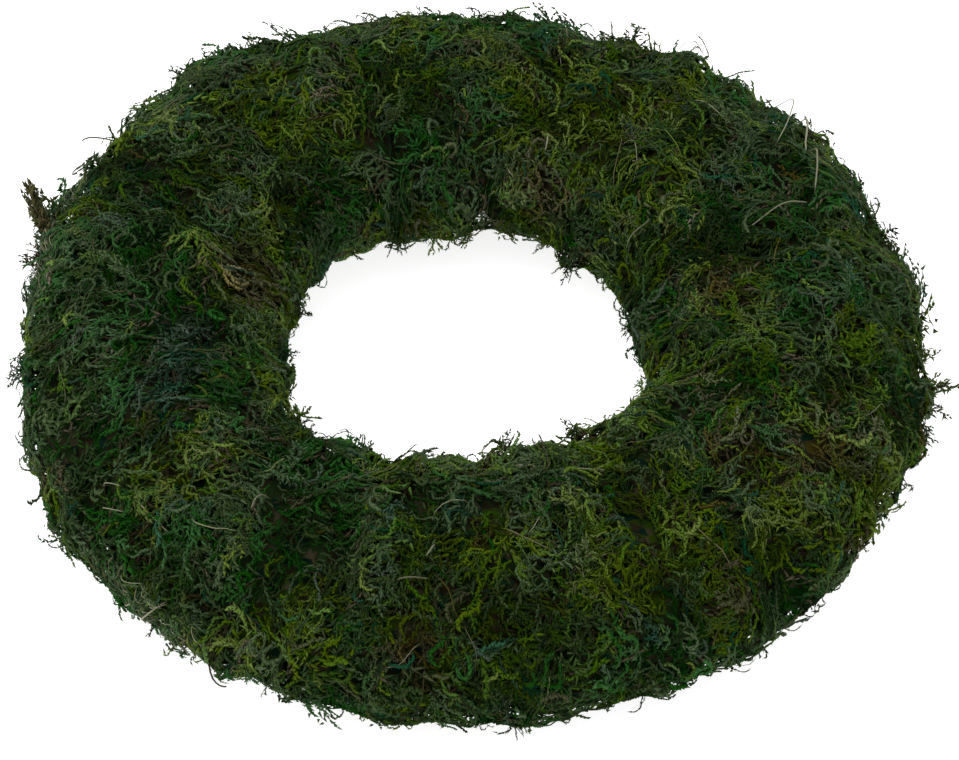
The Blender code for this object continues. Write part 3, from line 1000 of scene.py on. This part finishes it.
# %% [markdown]
# ## Shoots, fronds and threads
#
# Moss puts out several kinds of growth. A frond is a shoot with side shoots. Threads are short
# ragged shoots with few leaves, curls rise from the coat, and only the dry stalks are bare. A
# single drawing of each would show as a repeat, so each kind is drawn a few times over, along +X
# and one unit long.

# %% Patterns for the shoots
PATTERN_SEED = 5


def draw_thread(drawing, draw):
    spine = wavy_spine(draw, steps=4, bend=draw.uniform(-2.2, 2.2), wave=draw.uniform(0.1, 0.5))
    reach, width = draw.uniform(0.22, 0.28), draw.uniform(0.065, 0.085)
    drawing.shoot(draw, spine, leaves=6, reach=reach, width=width)


def draw_shoot(drawing, draw):
    spine = wavy_spine(draw, steps=6, bend=draw.uniform(-3.4, 3.4), wave=draw.uniform(0.2, 0.8))
    reach, width = draw.uniform(0.14, 0.18), draw.uniform(0.080, 0.100)
    drawing.shoot(draw, spine, leaves=14, reach=reach, width=width)


def draw_frond(drawing, draw):
    """A frond: a shoot with side shoots, longest near its root."""
    steps = branches = 6
    spine = wavy_spine(draw, steps, bend=draw.uniform(-1.4, 1.4), wave=0.2)
    drawing.stem(spine[::2], width=0.018)
    drawing.shoot(draw, spine, leaves=10, reach=0.15, width=0.072)
    for index in range(branches):
        share = 0.12 + 0.11 * index
        first = int(share * steps)
        way = spine[first + 1] - spine[first]
        heading = math.atan2(way.y, way.x) + draw.uniform(0.6, 1.1) * (1 if index % 2 else -1)
        length = draw.uniform(0.26, 0.36) * (1.2 - share)
        branch = wavy_spine(draw, 2, draw.uniform(-0.9, 0.9), 0.1, spine[first], heading, length)
        drawing.shoot(draw, branch, leaves=3, reach=0.16, width=0.066, start=share)


def draw_curl(drawing, draw):
    spine = rising_spine(5, turn=draw.uniform(1.6, 4.0), bend=draw.uniform(-1.5, 1.5))
    drawing.shoot(draw, spine, leaves=9, reach=0.24, width=0.09)


def draw_stalk(drawing, draw):
    spine = wavy_spine(draw, steps=6, bend=draw.uniform(-1.2, 1.2), wave=draw.uniform(0.1, 0.35))
    drawing.stem(spine, width=draw.uniform(0.012, 0.017))


KINDS = {
    # name: how it is drawn, how many times
    "threads": (draw_thread, 8),
    "shoots": (draw_shoot, 12),
    "fronds": (draw_frond, 8),
    "curls": (draw_curl, 6),
    "stalks": (draw_stalk, 5),
}


def make_patterns():
    """A collection for each kind of growth, with several drawings in it."""
    draw = random.Random(PATTERN_SEED)
    homes = {}
    for kind, (sketch, count) in KINDS.items():
        homes[kind] = bpy.data.collections.new(kind)
        for number in range(count):
            drawing = Drawing()
            sketch(drawing, draw)
            mesh = drawing.finished(f"{kind}_{number}")
            mesh.shade_smooth()
            homes[kind].objects.link(bpy.data.objects.new(mesh.name, mesh))
        print(kind, count, "patterns of about", len(mesh.polygons), "faces")
    return homes


patterns = make_patterns()

# %% [markdown]
# ## What each root decides
#
# Real moss grows in small cushions, each with one colour and one direction. Voronoi cells give
# them: all the roots in one cell share its three random numbers. Smaller cells, the tufts, are
# lighter or darker. Round the values of its cell every root then draws its own length, direction,
# height and colour, and stores them for its stem.

# %% What each root decides
LAYER_COLUMNS = (
    "Density", "Shortest", "Longest", "Spread", "Depth",
    "Rise", "Tip Rise", "Cushion Turn", "Light Shift",
)
LAYER_INPUTS = {
    # title: the kind of thing it takes, or its default number
    "Bed": "Geometry",
    "Guide": "Object",
    "Patterns": "Collection",
    "Material": "Material",
    **dict.fromkeys(LAYER_COLUMNS, 0.0),
    "Hue Spread": 0.075,
    "Light Spread": 0.08,
    "Strays": 0.15,
    "Lowest Stray": 0.28,
    "Highest Stray": 1.0,
    "Cushion Size": 0.010,
    "Cushion Hue": 0.06,
    "Cushion Light": 0.28,
    "Tuft Size": 0.0035,
    "Tuft Light": 0.26,
    "Seed": 0,
}
STEEPEST = 0.55
LOOSE_LEAST, LOOSE_MORE, LOOSE_POWER = 0.3, 1.7, 3.0
LIFT_POWER = 1.6


def stored(tree, name, kind="FLOAT"):
    return tree.add("GeometryNodeInputNamedAttribute", {"data_type": kind}, {"Name": name})


def store(tree, geometry, name, value, kind=None, domain="POINT"):
    kind = kind or (VECTOR if is_vector(value) else "FLOAT")
    values = {"Geometry": geometry, "Name": name, "Value": value}
    settings = {"data_type": kind, "domain": domain}
    return tree.add("GeometryNodeStoreNamedAttribute", settings, values)


class Chances:
    """Random numbers for each point, each draw with its own seed."""

    def __init__(self, tree, seed):
        self.tree, self.seed, self.drawn = tree, seed, 0

    def between(self, low, high, kind="FLOAT"):
        self.drawn += 1
        values = {"Min": low, "Max": high, "Seed": self.seed + self.drawn}
        return self.tree.add("FunctionNodeRandomValue", {"data_type": kind}, values)


def cells(tree, place, size):
    """Three random numbers from 0 to 1 for each Voronoi cell of this size."""
    values = {"Vector": place, "Scale": 1.0 / size}
    return tree.split(tree.add("ShaderNodeTexVoronoi", values=values, output="Color"))


def both_ways(share):
    """Turns a number from 0 to 1 into one from -1 to 1."""
    return (share - 0.5) * 2.0


def decide_stems(tree, given, chances, up):
    """What each root decides for its stem, by name."""
    place = tree.add("GeometryNodeInputPosition")
    cushion = cells(tree, place, given["Cushion Size"])
    tuft = cells(tree, place, given["Tuft Size"])
    spread = (chances.between(-1.0, 1.0) + chances.between(-0.5, 0.5)) * given["Spread"]
    yaw = spread + both_ways(cushion["Z"]) * given["Cushion Turn"]
    values = {"Vector": stored(tree, "comb", VECTOR), "Axis": up, "Angle": yaw}
    turned = tree.add("ShaderNodeVectorRotate", values=values)
    side = tree.maths("NORMALIZE", tree.maths("CROSS_PRODUCT", up, turned))
    chart = tree.split(stored(tree, "chart", VECTOR))
    apart = chances.between(-1.0, 1.0) * chances.between(0.0, 1.0)
    hue = chart["X"] + apart * given["Hue Spread"]
    hue = hue + both_ways(cushion["X"]) * given["Cushion Hue"]
    stray = tree.maths("LESS_THAN", chances.between(0.0, 1.0), given["Strays"])
    odd = chances.between(given["Lowest Stray"], given["Highest Stray"])
    values = {"Switch": stray, "False": hue, "True": odd}
    light = chart["Y"] + given["Light Shift"]
    light = light + chances.between(-1.0, 1.0) * given["Light Spread"]
    light = light + both_ways(cushion["Y"]) * given["Cushion Light"]
    light = light + both_ways(tuft["X"]) * given["Tuft Light"]
    loosened = LOOSE_LEAST + LOOSE_MORE * cushion["Y"] ** LOOSE_POWER
    loose = stored(tree, "loose") * loosened
    reach = chances.between(given["Shortest"], given["Longest"])
    tip_lift = given["Tip Rise"] * loose * chances.between(0.0, 1.0) ** LIFT_POWER
    return {
        "root": place,
        "ahead": tree.maths("CROSS_PRODUCT", side, up),
        "side": side,
        "reach": reach,
        "lift": given["Rise"] * loose * chances.between(0.2, 1.0),
        "tip_lift": tree.maths("MINIMUM", tip_lift, STEEPEST * reach),
        "hue": tree.add("GeometryNodeSwitch", {"input_type": "FLOAT"}, values),
        "light": light,
        "fill": 0.0,
    }


print("inputs of a layer", len(LAYER_INPUTS))

# %% [markdown]
# ## Laying the moss
#
# This node tree grows one layer of moss on a bed. It scatters roots, puts one pattern on each,
# turns the copies into plain mesh, and then lays every point of them on the guide: a point's x and
# y are walked off along the surface from its root, and its z is its height over it. So a stem
# bends over the ring as combed moss does. Hair curves would be quicker, but an export drops them.

# %% Tree that lays a layer
FLOOR_CLEARANCE = 0.0002
HIGHEST_INDEX = 99  # more than there are patterns: an index beyond the last starts again
HUE_LIMITS, LIGHT_LIMITS = (0.02, 0.97), (0.02, 0.80)
# Painted shade: each stem and leaf is darker at its root, deep in the coat, and lighter towards its
# tip; the tips of leaves, and by a little the upper side of each stem, are lighter still.
ALONG_LIGHT, TIP_LIGHT = 0.05, 0.02


def put_patterns(tree, given, points, chances):
    """One pattern on each point, as plain mesh."""
    values = {"Collection": given["Patterns"], "Separate Children": True, "Reset Children": True}
    drawings = tree.add("GeometryNodeCollectionInfo", values=values)
    which = chances.between(0, HIGHEST_INDEX, "INT")
    values = {"Points": points, "Instance": drawings}
    values |= {"Pick Instance": True, "Instance Index": which}
    copies = tree.add("GeometryNodeInstanceOnPoints", values=values)
    return tree.add("GeometryNodeRealizeInstances", values={"Geometry": copies})


def walk_off(tree):
    """Where each point's walk from its root ends, its height there, and its stem's directions."""
    root, ahead, side = (stored(tree, name, VECTOR) for name in ("root", "ahead", "side"))
    local = tree.split(tree.add("GeometryNodeInputPosition") - root)
    reach = stored(tree, "reach")
    flat = root + ahead * (local["X"] * reach) + side * (local["Y"] * reach)
    return flat, local["Z"] * reach, ahead, side


def lay_on_guide(tree, given, stems):
    """Lays each point on the guide where its walk ends, then lifts it over it."""
    flat, high, *_ = walk_off(tree)
    values = {"Object": given["Guide"]}
    target = tree.add("GeometryNodeObjectInfo", values=values, output="Geometry")
    settings, found = {"data_type": VECTOR}, {}
    for name in ("surface", "outward"):
        values = {"Mesh": target, "Value": stored(tree, name, VECTOR), "Sample Position": flat}
        found[name] = tree.add("GeometryNodeSampleNearestSurface", settings, values)
    along, depth = stored(tree, "along"), given["Depth"]
    arch = (depth + stored(tree, "lift")) * (4.0 * along * (1.0 - along)) - depth
    arch = arch + (depth + stored(tree, "tip_lift")) * along * along
    laid = found["surface"] + tree.maths("NORMALIZE", found["outward"]) * (arch + high)
    return above_floor(tree, stems, laid)


def above_floor(tree, stems, laid):
    parts = tree.split(laid)
    high = tree.maths("MAXIMUM", parts["Z"], FLOOR_CLEARANCE)
    values = {"Geometry": stems, "Position": tree.combine(parts["X"], parts["Y"], high)}
    return tree.add("GeometryNodeSetPosition", values=values)


def limited(tree, name, low, high):
    values = {"Value": stored(tree, name), "Min": low, "Max": high}
    return tree.add("ShaderNodeClamp", values=values)


def put_on_chart(tree, stems):
    """Stores the place on the colour chart, with painted shade: darker at the root, lighter towards
    the tip.
    """
    u = limited(tree, "hue", *HUE_LIMITS) + ON_CHART * stored(tree, "across")
    tips = ALONG_LIGHT * stored(tree, "along") + TIP_LIGHT * stored(tree, "tip")
    uv = tree.combine(u, limited(tree, "light", *LIGHT_LIMITS) + tips)
    return store(tree, stems, CHART_MAP, uv, "FLOAT2", "CORNER")


def start_tree(name, inputs):
    """A node group that takes these inputs and gives moss."""
    group = bpy.data.node_groups.new(name, "GeometryNodeTree")
    group.interface.new_socket("Moss", in_out="OUTPUT", socket_type="NodeSocketGeometry")
    for title, default in inputs.items():
        kind = {float: "Float", int: "Int"}.get(type(default), default)
        socket = group.interface.new_socket(title, in_out="INPUT", socket_type=f"NodeSocket{kind}")
        if kind != default:
            socket.default_value = default
    tree = Tree(group)
    return group, tree, tree.add("NodeGroupInput")


def end_tree(tree, given, parts):
    """Joins the parts as plain mesh and dresses them."""
    joined = tree.add("GeometryNodeJoinGeometry", values={"Geometry": parts})
    plain = tree.add("GeometryNodeRealizeInstances", values={"Geometry": joined})
    values = {"Geometry": plain, "Material": given["Material"]}
    tree.add("NodeGroupOutput", values={"Moss": tree.add("GeometryNodeSetMaterial", values=values)})


def make_layer_tree():
    group, tree, given = start_tree("lay_moss", LAYER_INPUTS)
    chances = Chances(tree, given["Seed"])
    density = given["Density"] * stored(tree, "fill")
    values = {"Mesh": given["Bed"], "Density": density, "Seed": given["Seed"]}
    points = tree.add("GeometryNodeDistributePointsOnFaces", values=values, output="Points")
    for name, value in decide_stems(tree, given, chances, points["Normal"]).items():
        points = store(tree, points, name, value)
    stems = put_patterns(tree, given, points, chances)
    laid = put_on_chart(tree, lay_on_guide(tree, given, stems))
    end_tree(tree, given, [given["Bed"], laid])
    return group


layer_tree = make_layer_tree()
print("layer tree", len(layer_tree.nodes), "nodes")

# %% [markdown]
# ## Growing the coat, layer by layer
#
# The coat is built as a florist would see it from below to above: first many flat threads, then
# two layers of leafy shoots, then fronds and curls, and at last a few dry stalks. The lower layers
# are darker and the upper ones lighter, as painted shade for the depth of the coat. Each layer
# is one modifier with the same tree and its own sizes and seed. The result is read off as a plain
# mesh, and the modifiers and the values that only they needed are removed.

# %% Layers
# Light Shift is painted shade: darker for the lower layers, lighter for the upper ones.
LAYERS = (
    # patterns, a value for each of LAYER_COLUMNS, values for other inputs
    ("threads", 64000.0, 0.010, 0.017, 1.3, 0.0002, 0.0010, 0.0006, 0.3, -0.10,
     {"Strays": 0.12, "Lowest Stray": 0.02, "Highest Stray": 0.11}),
    ("shoots", 32000.0, 0.009, 0.015, 1.1, 0.0003, 0.0012, 0.0012, 0.4, -0.06, {}),
    ("shoots", 40000.0, 0.009, 0.016, 0.8, 0.0005, 0.0014, 0.0052, 0.5, 0.0, {}),
    ("fronds", 9000.0, 0.010, 0.017, 0.7, 0.0006, 0.0016, 0.0070, 0.5, 0.03, {}),
    ("curls", 11000.0, 0.004, 0.009, 3.1, 0.0010, 0.0010, 0.0020, 0.8, 0.0, {}),
    ("stalks", 1800.0, 0.014, 0.026, 1.6, 0.0010, 0.0030, 0.0030, 0.8, 0.02,
     {"Hue Spread": 0.30, "Strays": 0.6, "Lowest Stray": 0.02, "Highest Stray": 0.34}),
)
LAYER_SEED, SEED_STEP = 100, 20
KEPT_VALUES = {"position", "sharp_face", "material_index", CHART_MAP}


def grow(piece, tree, given):
    """Puts a growing tree on a piece, with these values for its inputs."""
    sockets = {item.name: item.identifier for item in tree.interface.items_tree}
    layer = piece.modifiers.new(tree.name, "NODES")
    layer.node_group = tree
    for name, value in given.items():
        layer[sockets[name]] = value


def read_off(bed):
    """Turns a grown bed into a plain mesh."""
    evaluated = bed.evaluated_get(bpy.context.evaluated_depsgraph_get())
    mesh = bpy.data.meshes.new_from_object(evaluated)
    bed.modifiers.clear()
    bed.data = mesh
    for name in [attribute.name for attribute in mesh.attributes]:
        if name not in KEPT_VALUES and not name.startswith("."):
            mesh.attributes.remove(mesh.attributes[name])
    return len(mesh.polygons)


total = 0
for mat, bed in enumerate(beds):
    for number, (kind, *sizes, others) in enumerate(LAYERS):
        seed = LAYER_SEED * (mat + 1) + SEED_STEP * number
        given = {"Guide": guide, "Patterns": patterns[kind], "Material": moss, "Seed": seed}
        grow(bed, layer_tree, given | dict(zip(LAYER_COLUMNS, sizes)) | others)
    faces = read_off(bed)
    total += faces
    print(bed.name, "faces", faces)
print("moss faces in all", total)

# %% [markdown]
# ## Sprigs that stand out
#
# Some sprigs stand clear of the coat and make the ragged outline that moss has. The solid mats
# have them at the same places as plain tufts. Here each is a small fan of fronds. Their roots are
# loose points that carry the same values as before, and a second tree puts the patterns on them.

# %% Sprigs
# Angle and around, length in millimetres, lean along and round the ring, place on the chart,
# and how far the fronds fan out in degrees, where it isn't SPRIG_FAN
SPRIGS = (
    (165, 18, 22, -38, 16, 0.37, 10), (164, 20, 18, -34, 11, 0.4, 10),
    (166, 14, 12, 10, -10, 0.34), (144, 6, 13, -35, 0, 0.62), (187, 14, 10, 15, 0, 0.72),
    (131, 32, 10, 30, 0, 0.6), (121, 30, 10, 30, 0, 0.58), (96, 32, 8, 20, 0, 0.7),
    (66, 34, 12, -15, 0, 0.58), (60, 40, 10, 25, 10, 0.54), (38, 30, 10, 40, 0, 0.56),
    (27, 26, 9, -10, 0, 0.64), (356, 8, 9, 30, 0, 0.52), (350, 2, 14, 25, 20, 0.46),
    (346, -2, 11, -20, -10, 0.62), (262, -22, 9, -25, 0, 0.66), (276, -22, 9, 30, 0, 0.54),
    (243, -20, 8, -30, 0, 0.6), (228, -18, 8, 15, 0, 0.56), (242, 152, 9, -20, 0, 0.72),
    (280, 152, 10, 35, 0, 0.6), (306, 156, 11, -30, 0, 0.62), (52, 198, 9, 15, 0, 0.54),
    (181, 188, 8, -30, 0, 0.7), (111, 198, 7, 20, 0, 0.68), (12, 188, 7, -20, 0, 0.66),
    (112, 194, 9, 25, 15, 0.6), (104, 192, 8, -20, 20, 0.64), (89, 188, 9, 10, 25, 0.58),
    (76, 192, 7, -25, 15, 0.54), (62, 196, 9, 20, 10, 0.52),
)
SPRIG_FAN = 24
SPRIG_FRONDS = 7
SPRIG_DEPTH = 0.0015
SPRIG_LIGHT = 0.42
SPRIG_INPUTS = {title: LAYER_INPUTS[title] for title in ("Bed", "Patterns", "Material", "Seed")}
SPRIG_VALUES = ("root", "ahead", "side", "reach", "hue", "light")


def mat_at(angle, around):
    """The number of the mat at a place in degrees."""
    angle, around = math.radians(angle), math.radians(around)
    return int((angle - seam_angle(0, around % math.tau)) % math.tau / PITCH)


def sprig_roots(draw, angle, around, length, lean, turned, hue, fan=SPRIG_FAN):
    """The roots of one sprig, each with the values that SPRIG_VALUES names."""
    degrees = (angle, around, lean, turned, fan)
    angle, around, lean, turned, fan = (math.radians(value) for value in degrees)
    ahead, round_way = ahead_and_round(angle, around)
    out = ahead.cross(round_way).normalized()
    for _ in range(SPRIG_FRONDS):
        tilt, turn = lean + draw.gauss(0, fan), turned + draw.gauss(0, fan)
        way = (out + ahead * math.tan(tilt) + round_way * math.tan(turn)).normalized()
        side = way.cross(out + ahead * draw.uniform(-1, 1)).normalized()
        place = bed_point(angle + draw.gauss(0, 0.01), around + draw.gauss(0, 0.04), -SPRIG_DEPTH)
        reach = length / 1000 * draw.uniform(0.55, 1.15)
        yield place, way, side, reach, hue + draw.gauss(0, 0.04), SPRIG_LIGHT


def plan_sprigs():
    """For each mat, the roots of its sprigs."""
    draw = random.Random(PATTERN_SEED)
    made = [[] for _ in range(MAT_COUNT)]
    for sprig in SPRIGS:
        made[mat_at(*sprig[:2])] += sprig_roots(draw, *sprig)
    return made


sprigs = plan_sprigs()
print("fronds in sprigs", [len(roots) for roots in sprigs])


def make_sprig_tree():
    group, tree, given = start_tree("stand_sprigs", SPRIG_INPUTS)
    chances = Chances(tree, given["Seed"])
    points = tree.add("GeometryNodeMeshToPoints", values={"Mesh": given["Bed"]})
    stems = put_patterns(tree, given, points, chances)
    flat, high, ahead, side = walk_off(tree)
    laid = flat + tree.maths("CROSS_PRODUCT", ahead, side) * high
    end_tree(tree, given, [put_on_chart(tree, above_floor(tree, stems, laid))])
    return group


sprig_tree = make_sprig_tree()
print("sprig tree", len(sprig_tree.nodes), "nodes")


def add_to_mesh(bed, more):
    joined = bmesh.new()
    joined.from_mesh(bed.data)
    joined.from_mesh(more)
    joined.to_mesh(bed.data)
    joined.free()


def grow_sprigs(bed, mat, roots):
    """Adds the sprigs of one mat to its mesh."""
    mesh = bpy.data.meshes.new("sprig_roots")
    mesh.from_pydata([root[0] for root in roots], [], [])
    for name, values in zip(SPRIG_VALUES, zip(*roots)):
        add_values(mesh, name, values)
    points = new_object("sprigs", mesh)
    grow(points, sprig_tree, {"Patterns": patterns["fronds"], "Material": moss, "Seed": mat})
    read_off(points)
    add_to_mesh(bed, points.data)
    bpy.data.objects.remove(points)


for mat, (bed, roots) in enumerate(zip(beds, sprigs)):
    if roots:
        grow_sprigs(bed, mat, roots)
print("sprigs grown on", sum(1 for roots in sprigs if roots), "mats")

# %% [markdown]
# ## Dry stems
#
# A few long pale stems lie on the coat, each in its own place, so they are drawn one by one: a
# curve through three places on the moss, lifted over the leaves, with the round stem of the
# patterns along it. At the left edge many fine pale fibres catch the light; they are drawn the same
# way from random places. All are added to the mat on which they start.

# %% Dry stems
STEM_STEPS = 12
STEM_TUCK = 0.0010
# Width, place on the chart, light, rise in the middle and at the end, three places in degrees;
# lengths in tenths of a millimetre
STEMS = (
    (6, 0.16, 0.4, 40, 15, (16, 100), (16, 84), (19, 68)),
    (6, 0.15, 0.55, 48, 15, (32, 38), (27, 54), (20, 64)),
    (7, 0.17, 0.8, 45, 15, (37, 31), (35, 38), (29, 54)),
    (4, 0.17, 0.8, 65, 15, (43, 30), (38, 42), (31, 68)),
    (4, 0.14, 0.45, 40, 10, (52, 114), (48, 112), (43, 120)),
    (5, 0.14, 0.5, 40, 10, (32, 134), (28, 142), (30, 158)),
    (6, 0.1, 0.45, 30, 110, (146, 32), (149, 31), (151, 32)),
    (5, 0.1, 0.4, 20, 70, (151, 28), (153, 31), (156, 32)),
    (6, 0.17, 0.75, 30, 30, (228, 10), (226, -4), (224, -16)),
    (6, 0.17, 0.75, 30, 30, (231, 14), (230, 6), (229, -2)),
    (6, 0.05, 0.5, 20, 70, (238, 4), (241, -10), (241, -18)),
    (5, 0.17, 0.45, 40, 20, (265, 84), (265, 80), (264, 76)),
    (6, 0.13, 0.3, 34, 10, (260, 66), (262, 66), (265, 68)),
    (4, 0.17, 0.5, 40, 30, (215, 44), (217, 48), (219, 52)),
    (4, 0.17, 0.5, 40, 30, (217, 36), (219, 40), (221, 44)),
    (5, 0.16, 0.4, 40, 20, (236, 88), (236, 82), (236, 76)),
    (6, 0.44, 0.6, 45, 10, (79, 122), (79, 132), (86, 138)),
    (5, 0.17, 0.7, 40, 15, (70, 124), (68, 130), (68, 136)),
)
# Painted shade along the dry stems too: darker at the tucked-in root, lighter towards the tip.
STEM_TIP_LIGHT = 0.03
FIBRE_WIDTH = 0.00022
FIBRE_SEED = 7
FIBRE_HUES = (0.18, 0.86)
FIBRES = (
    # angle and around in degrees, how far they spread each way, number
    (168, 16, 5, 6, 60),
    (160, 24, 6, 6, 70),
    (151, 26, 5, 6, 40),
    (229, 4, 5, 8, 40),
)


def stem_rows():
    """The stems and then the fine pale fibres, with their lengths in metres."""
    for width, hue, light, rise, end, *places in STEMS:
        yield width / TENTHS, hue, light, rise / TENTHS, end / TENTHS, places
    draw = random.Random(FIBRE_SEED)
    for angle, around, wide, high, count in FIBRES:
        for _ in range(count):
            start = (draw.gauss(angle, wide), draw.gauss(around, high))
            way, turn = draw.choice((-1, 1)) * draw.uniform(1.5, 4.0), draw.uniform(-6, 6)
            places = [(start[0] + way * part, start[1] + turn * part**2) for part in (0, 0.5, 1)]
            hue, light = draw.choice(FIBRE_HUES), draw.uniform(0.55, 0.95)
            rise, end = draw.uniform(0.001, 0.0035), draw.uniform(0.0, 0.002)
            yield FIBRE_WIDTH, hue, light, rise, end, places


def stem_spine(rise, end, places):
    """Points along a curve through three places on the moss."""
    spine = []
    for step in range(STEM_STEPS + 1):
        t = step / STEM_STEPS
        shares = ((2 * t - 1) * (t - 1), 4 * t * (1 - t), t * (2 * t - 1))
        angle, around = (sum(s * p[side] for s, p in zip(shares, places)) for side in (0, 1))
        lift = rise * math.sin(math.pi * t) + end * t - STEM_TUCK * (1 - t)
        spine.append(bed_point(math.radians(angle), math.radians(around), lift))
    return spine


def stems_mesh(rows, material_index):
    """All the stems of one mat as a mesh, each face with its place on the chart."""
    drawing = Drawing()
    uv = drawing.bm.loops.layers.uv.new(CHART_MAP)
    for width, hue, light, rise, end, places in rows:
        before = len(drawing.bm.faces)
        drawing.stem(stem_spine(rise, end, places), width)
        drawing.bm.faces.ensure_lookup_table()
        for face in drawing.bm.faces[before:]:
            face.smooth = True
            face.material_index = material_index
            for loop in face.loops:
                along, across, tip = (loop.vert[layer] for layer in drawing.layers)
                lighter = ALONG_LIGHT * along + STEM_TIP_LIGHT * tip
                loop[uv].uv = (hue + ON_CHART * across, light + lighter)
    return drawing.finished("stems")


stems = [[] for _ in range(MAT_COUNT)]
for row in stem_rows():
    stems[mat_at(*row[-1][0])].append(row)
for bed, rows in zip(beds, stems):
    if rows:
        add_to_mesh(bed, stems_mesh(rows, bed.data.polygons[0].material_index))
print("dry stems", len(STEMS), "and fibres", sum(fibre[-1] for fibre in FIBRES))

# %% [markdown]
# ## Handing over
#
# Each grown mat stands for its solid one, which is hidden. The guide and
# the patterns were only tools, so they go.

# %% Hand over
SLOTS = {node["node"]: node["material_slot"] for node in frame["record"]["subparts"]}
for mat, bed in enumerate(beds):
    node = f"moss_mat_{mat + 1:02d}"
    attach(bed, "root")
    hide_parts(node)
    SLOTS[node]
bpy.data.objects.remove(guide)
for home in patterns.values():
    for pattern in list(home.objects):
        bpy.data.objects.remove(pattern)
    bpy.data.collections.remove(home)
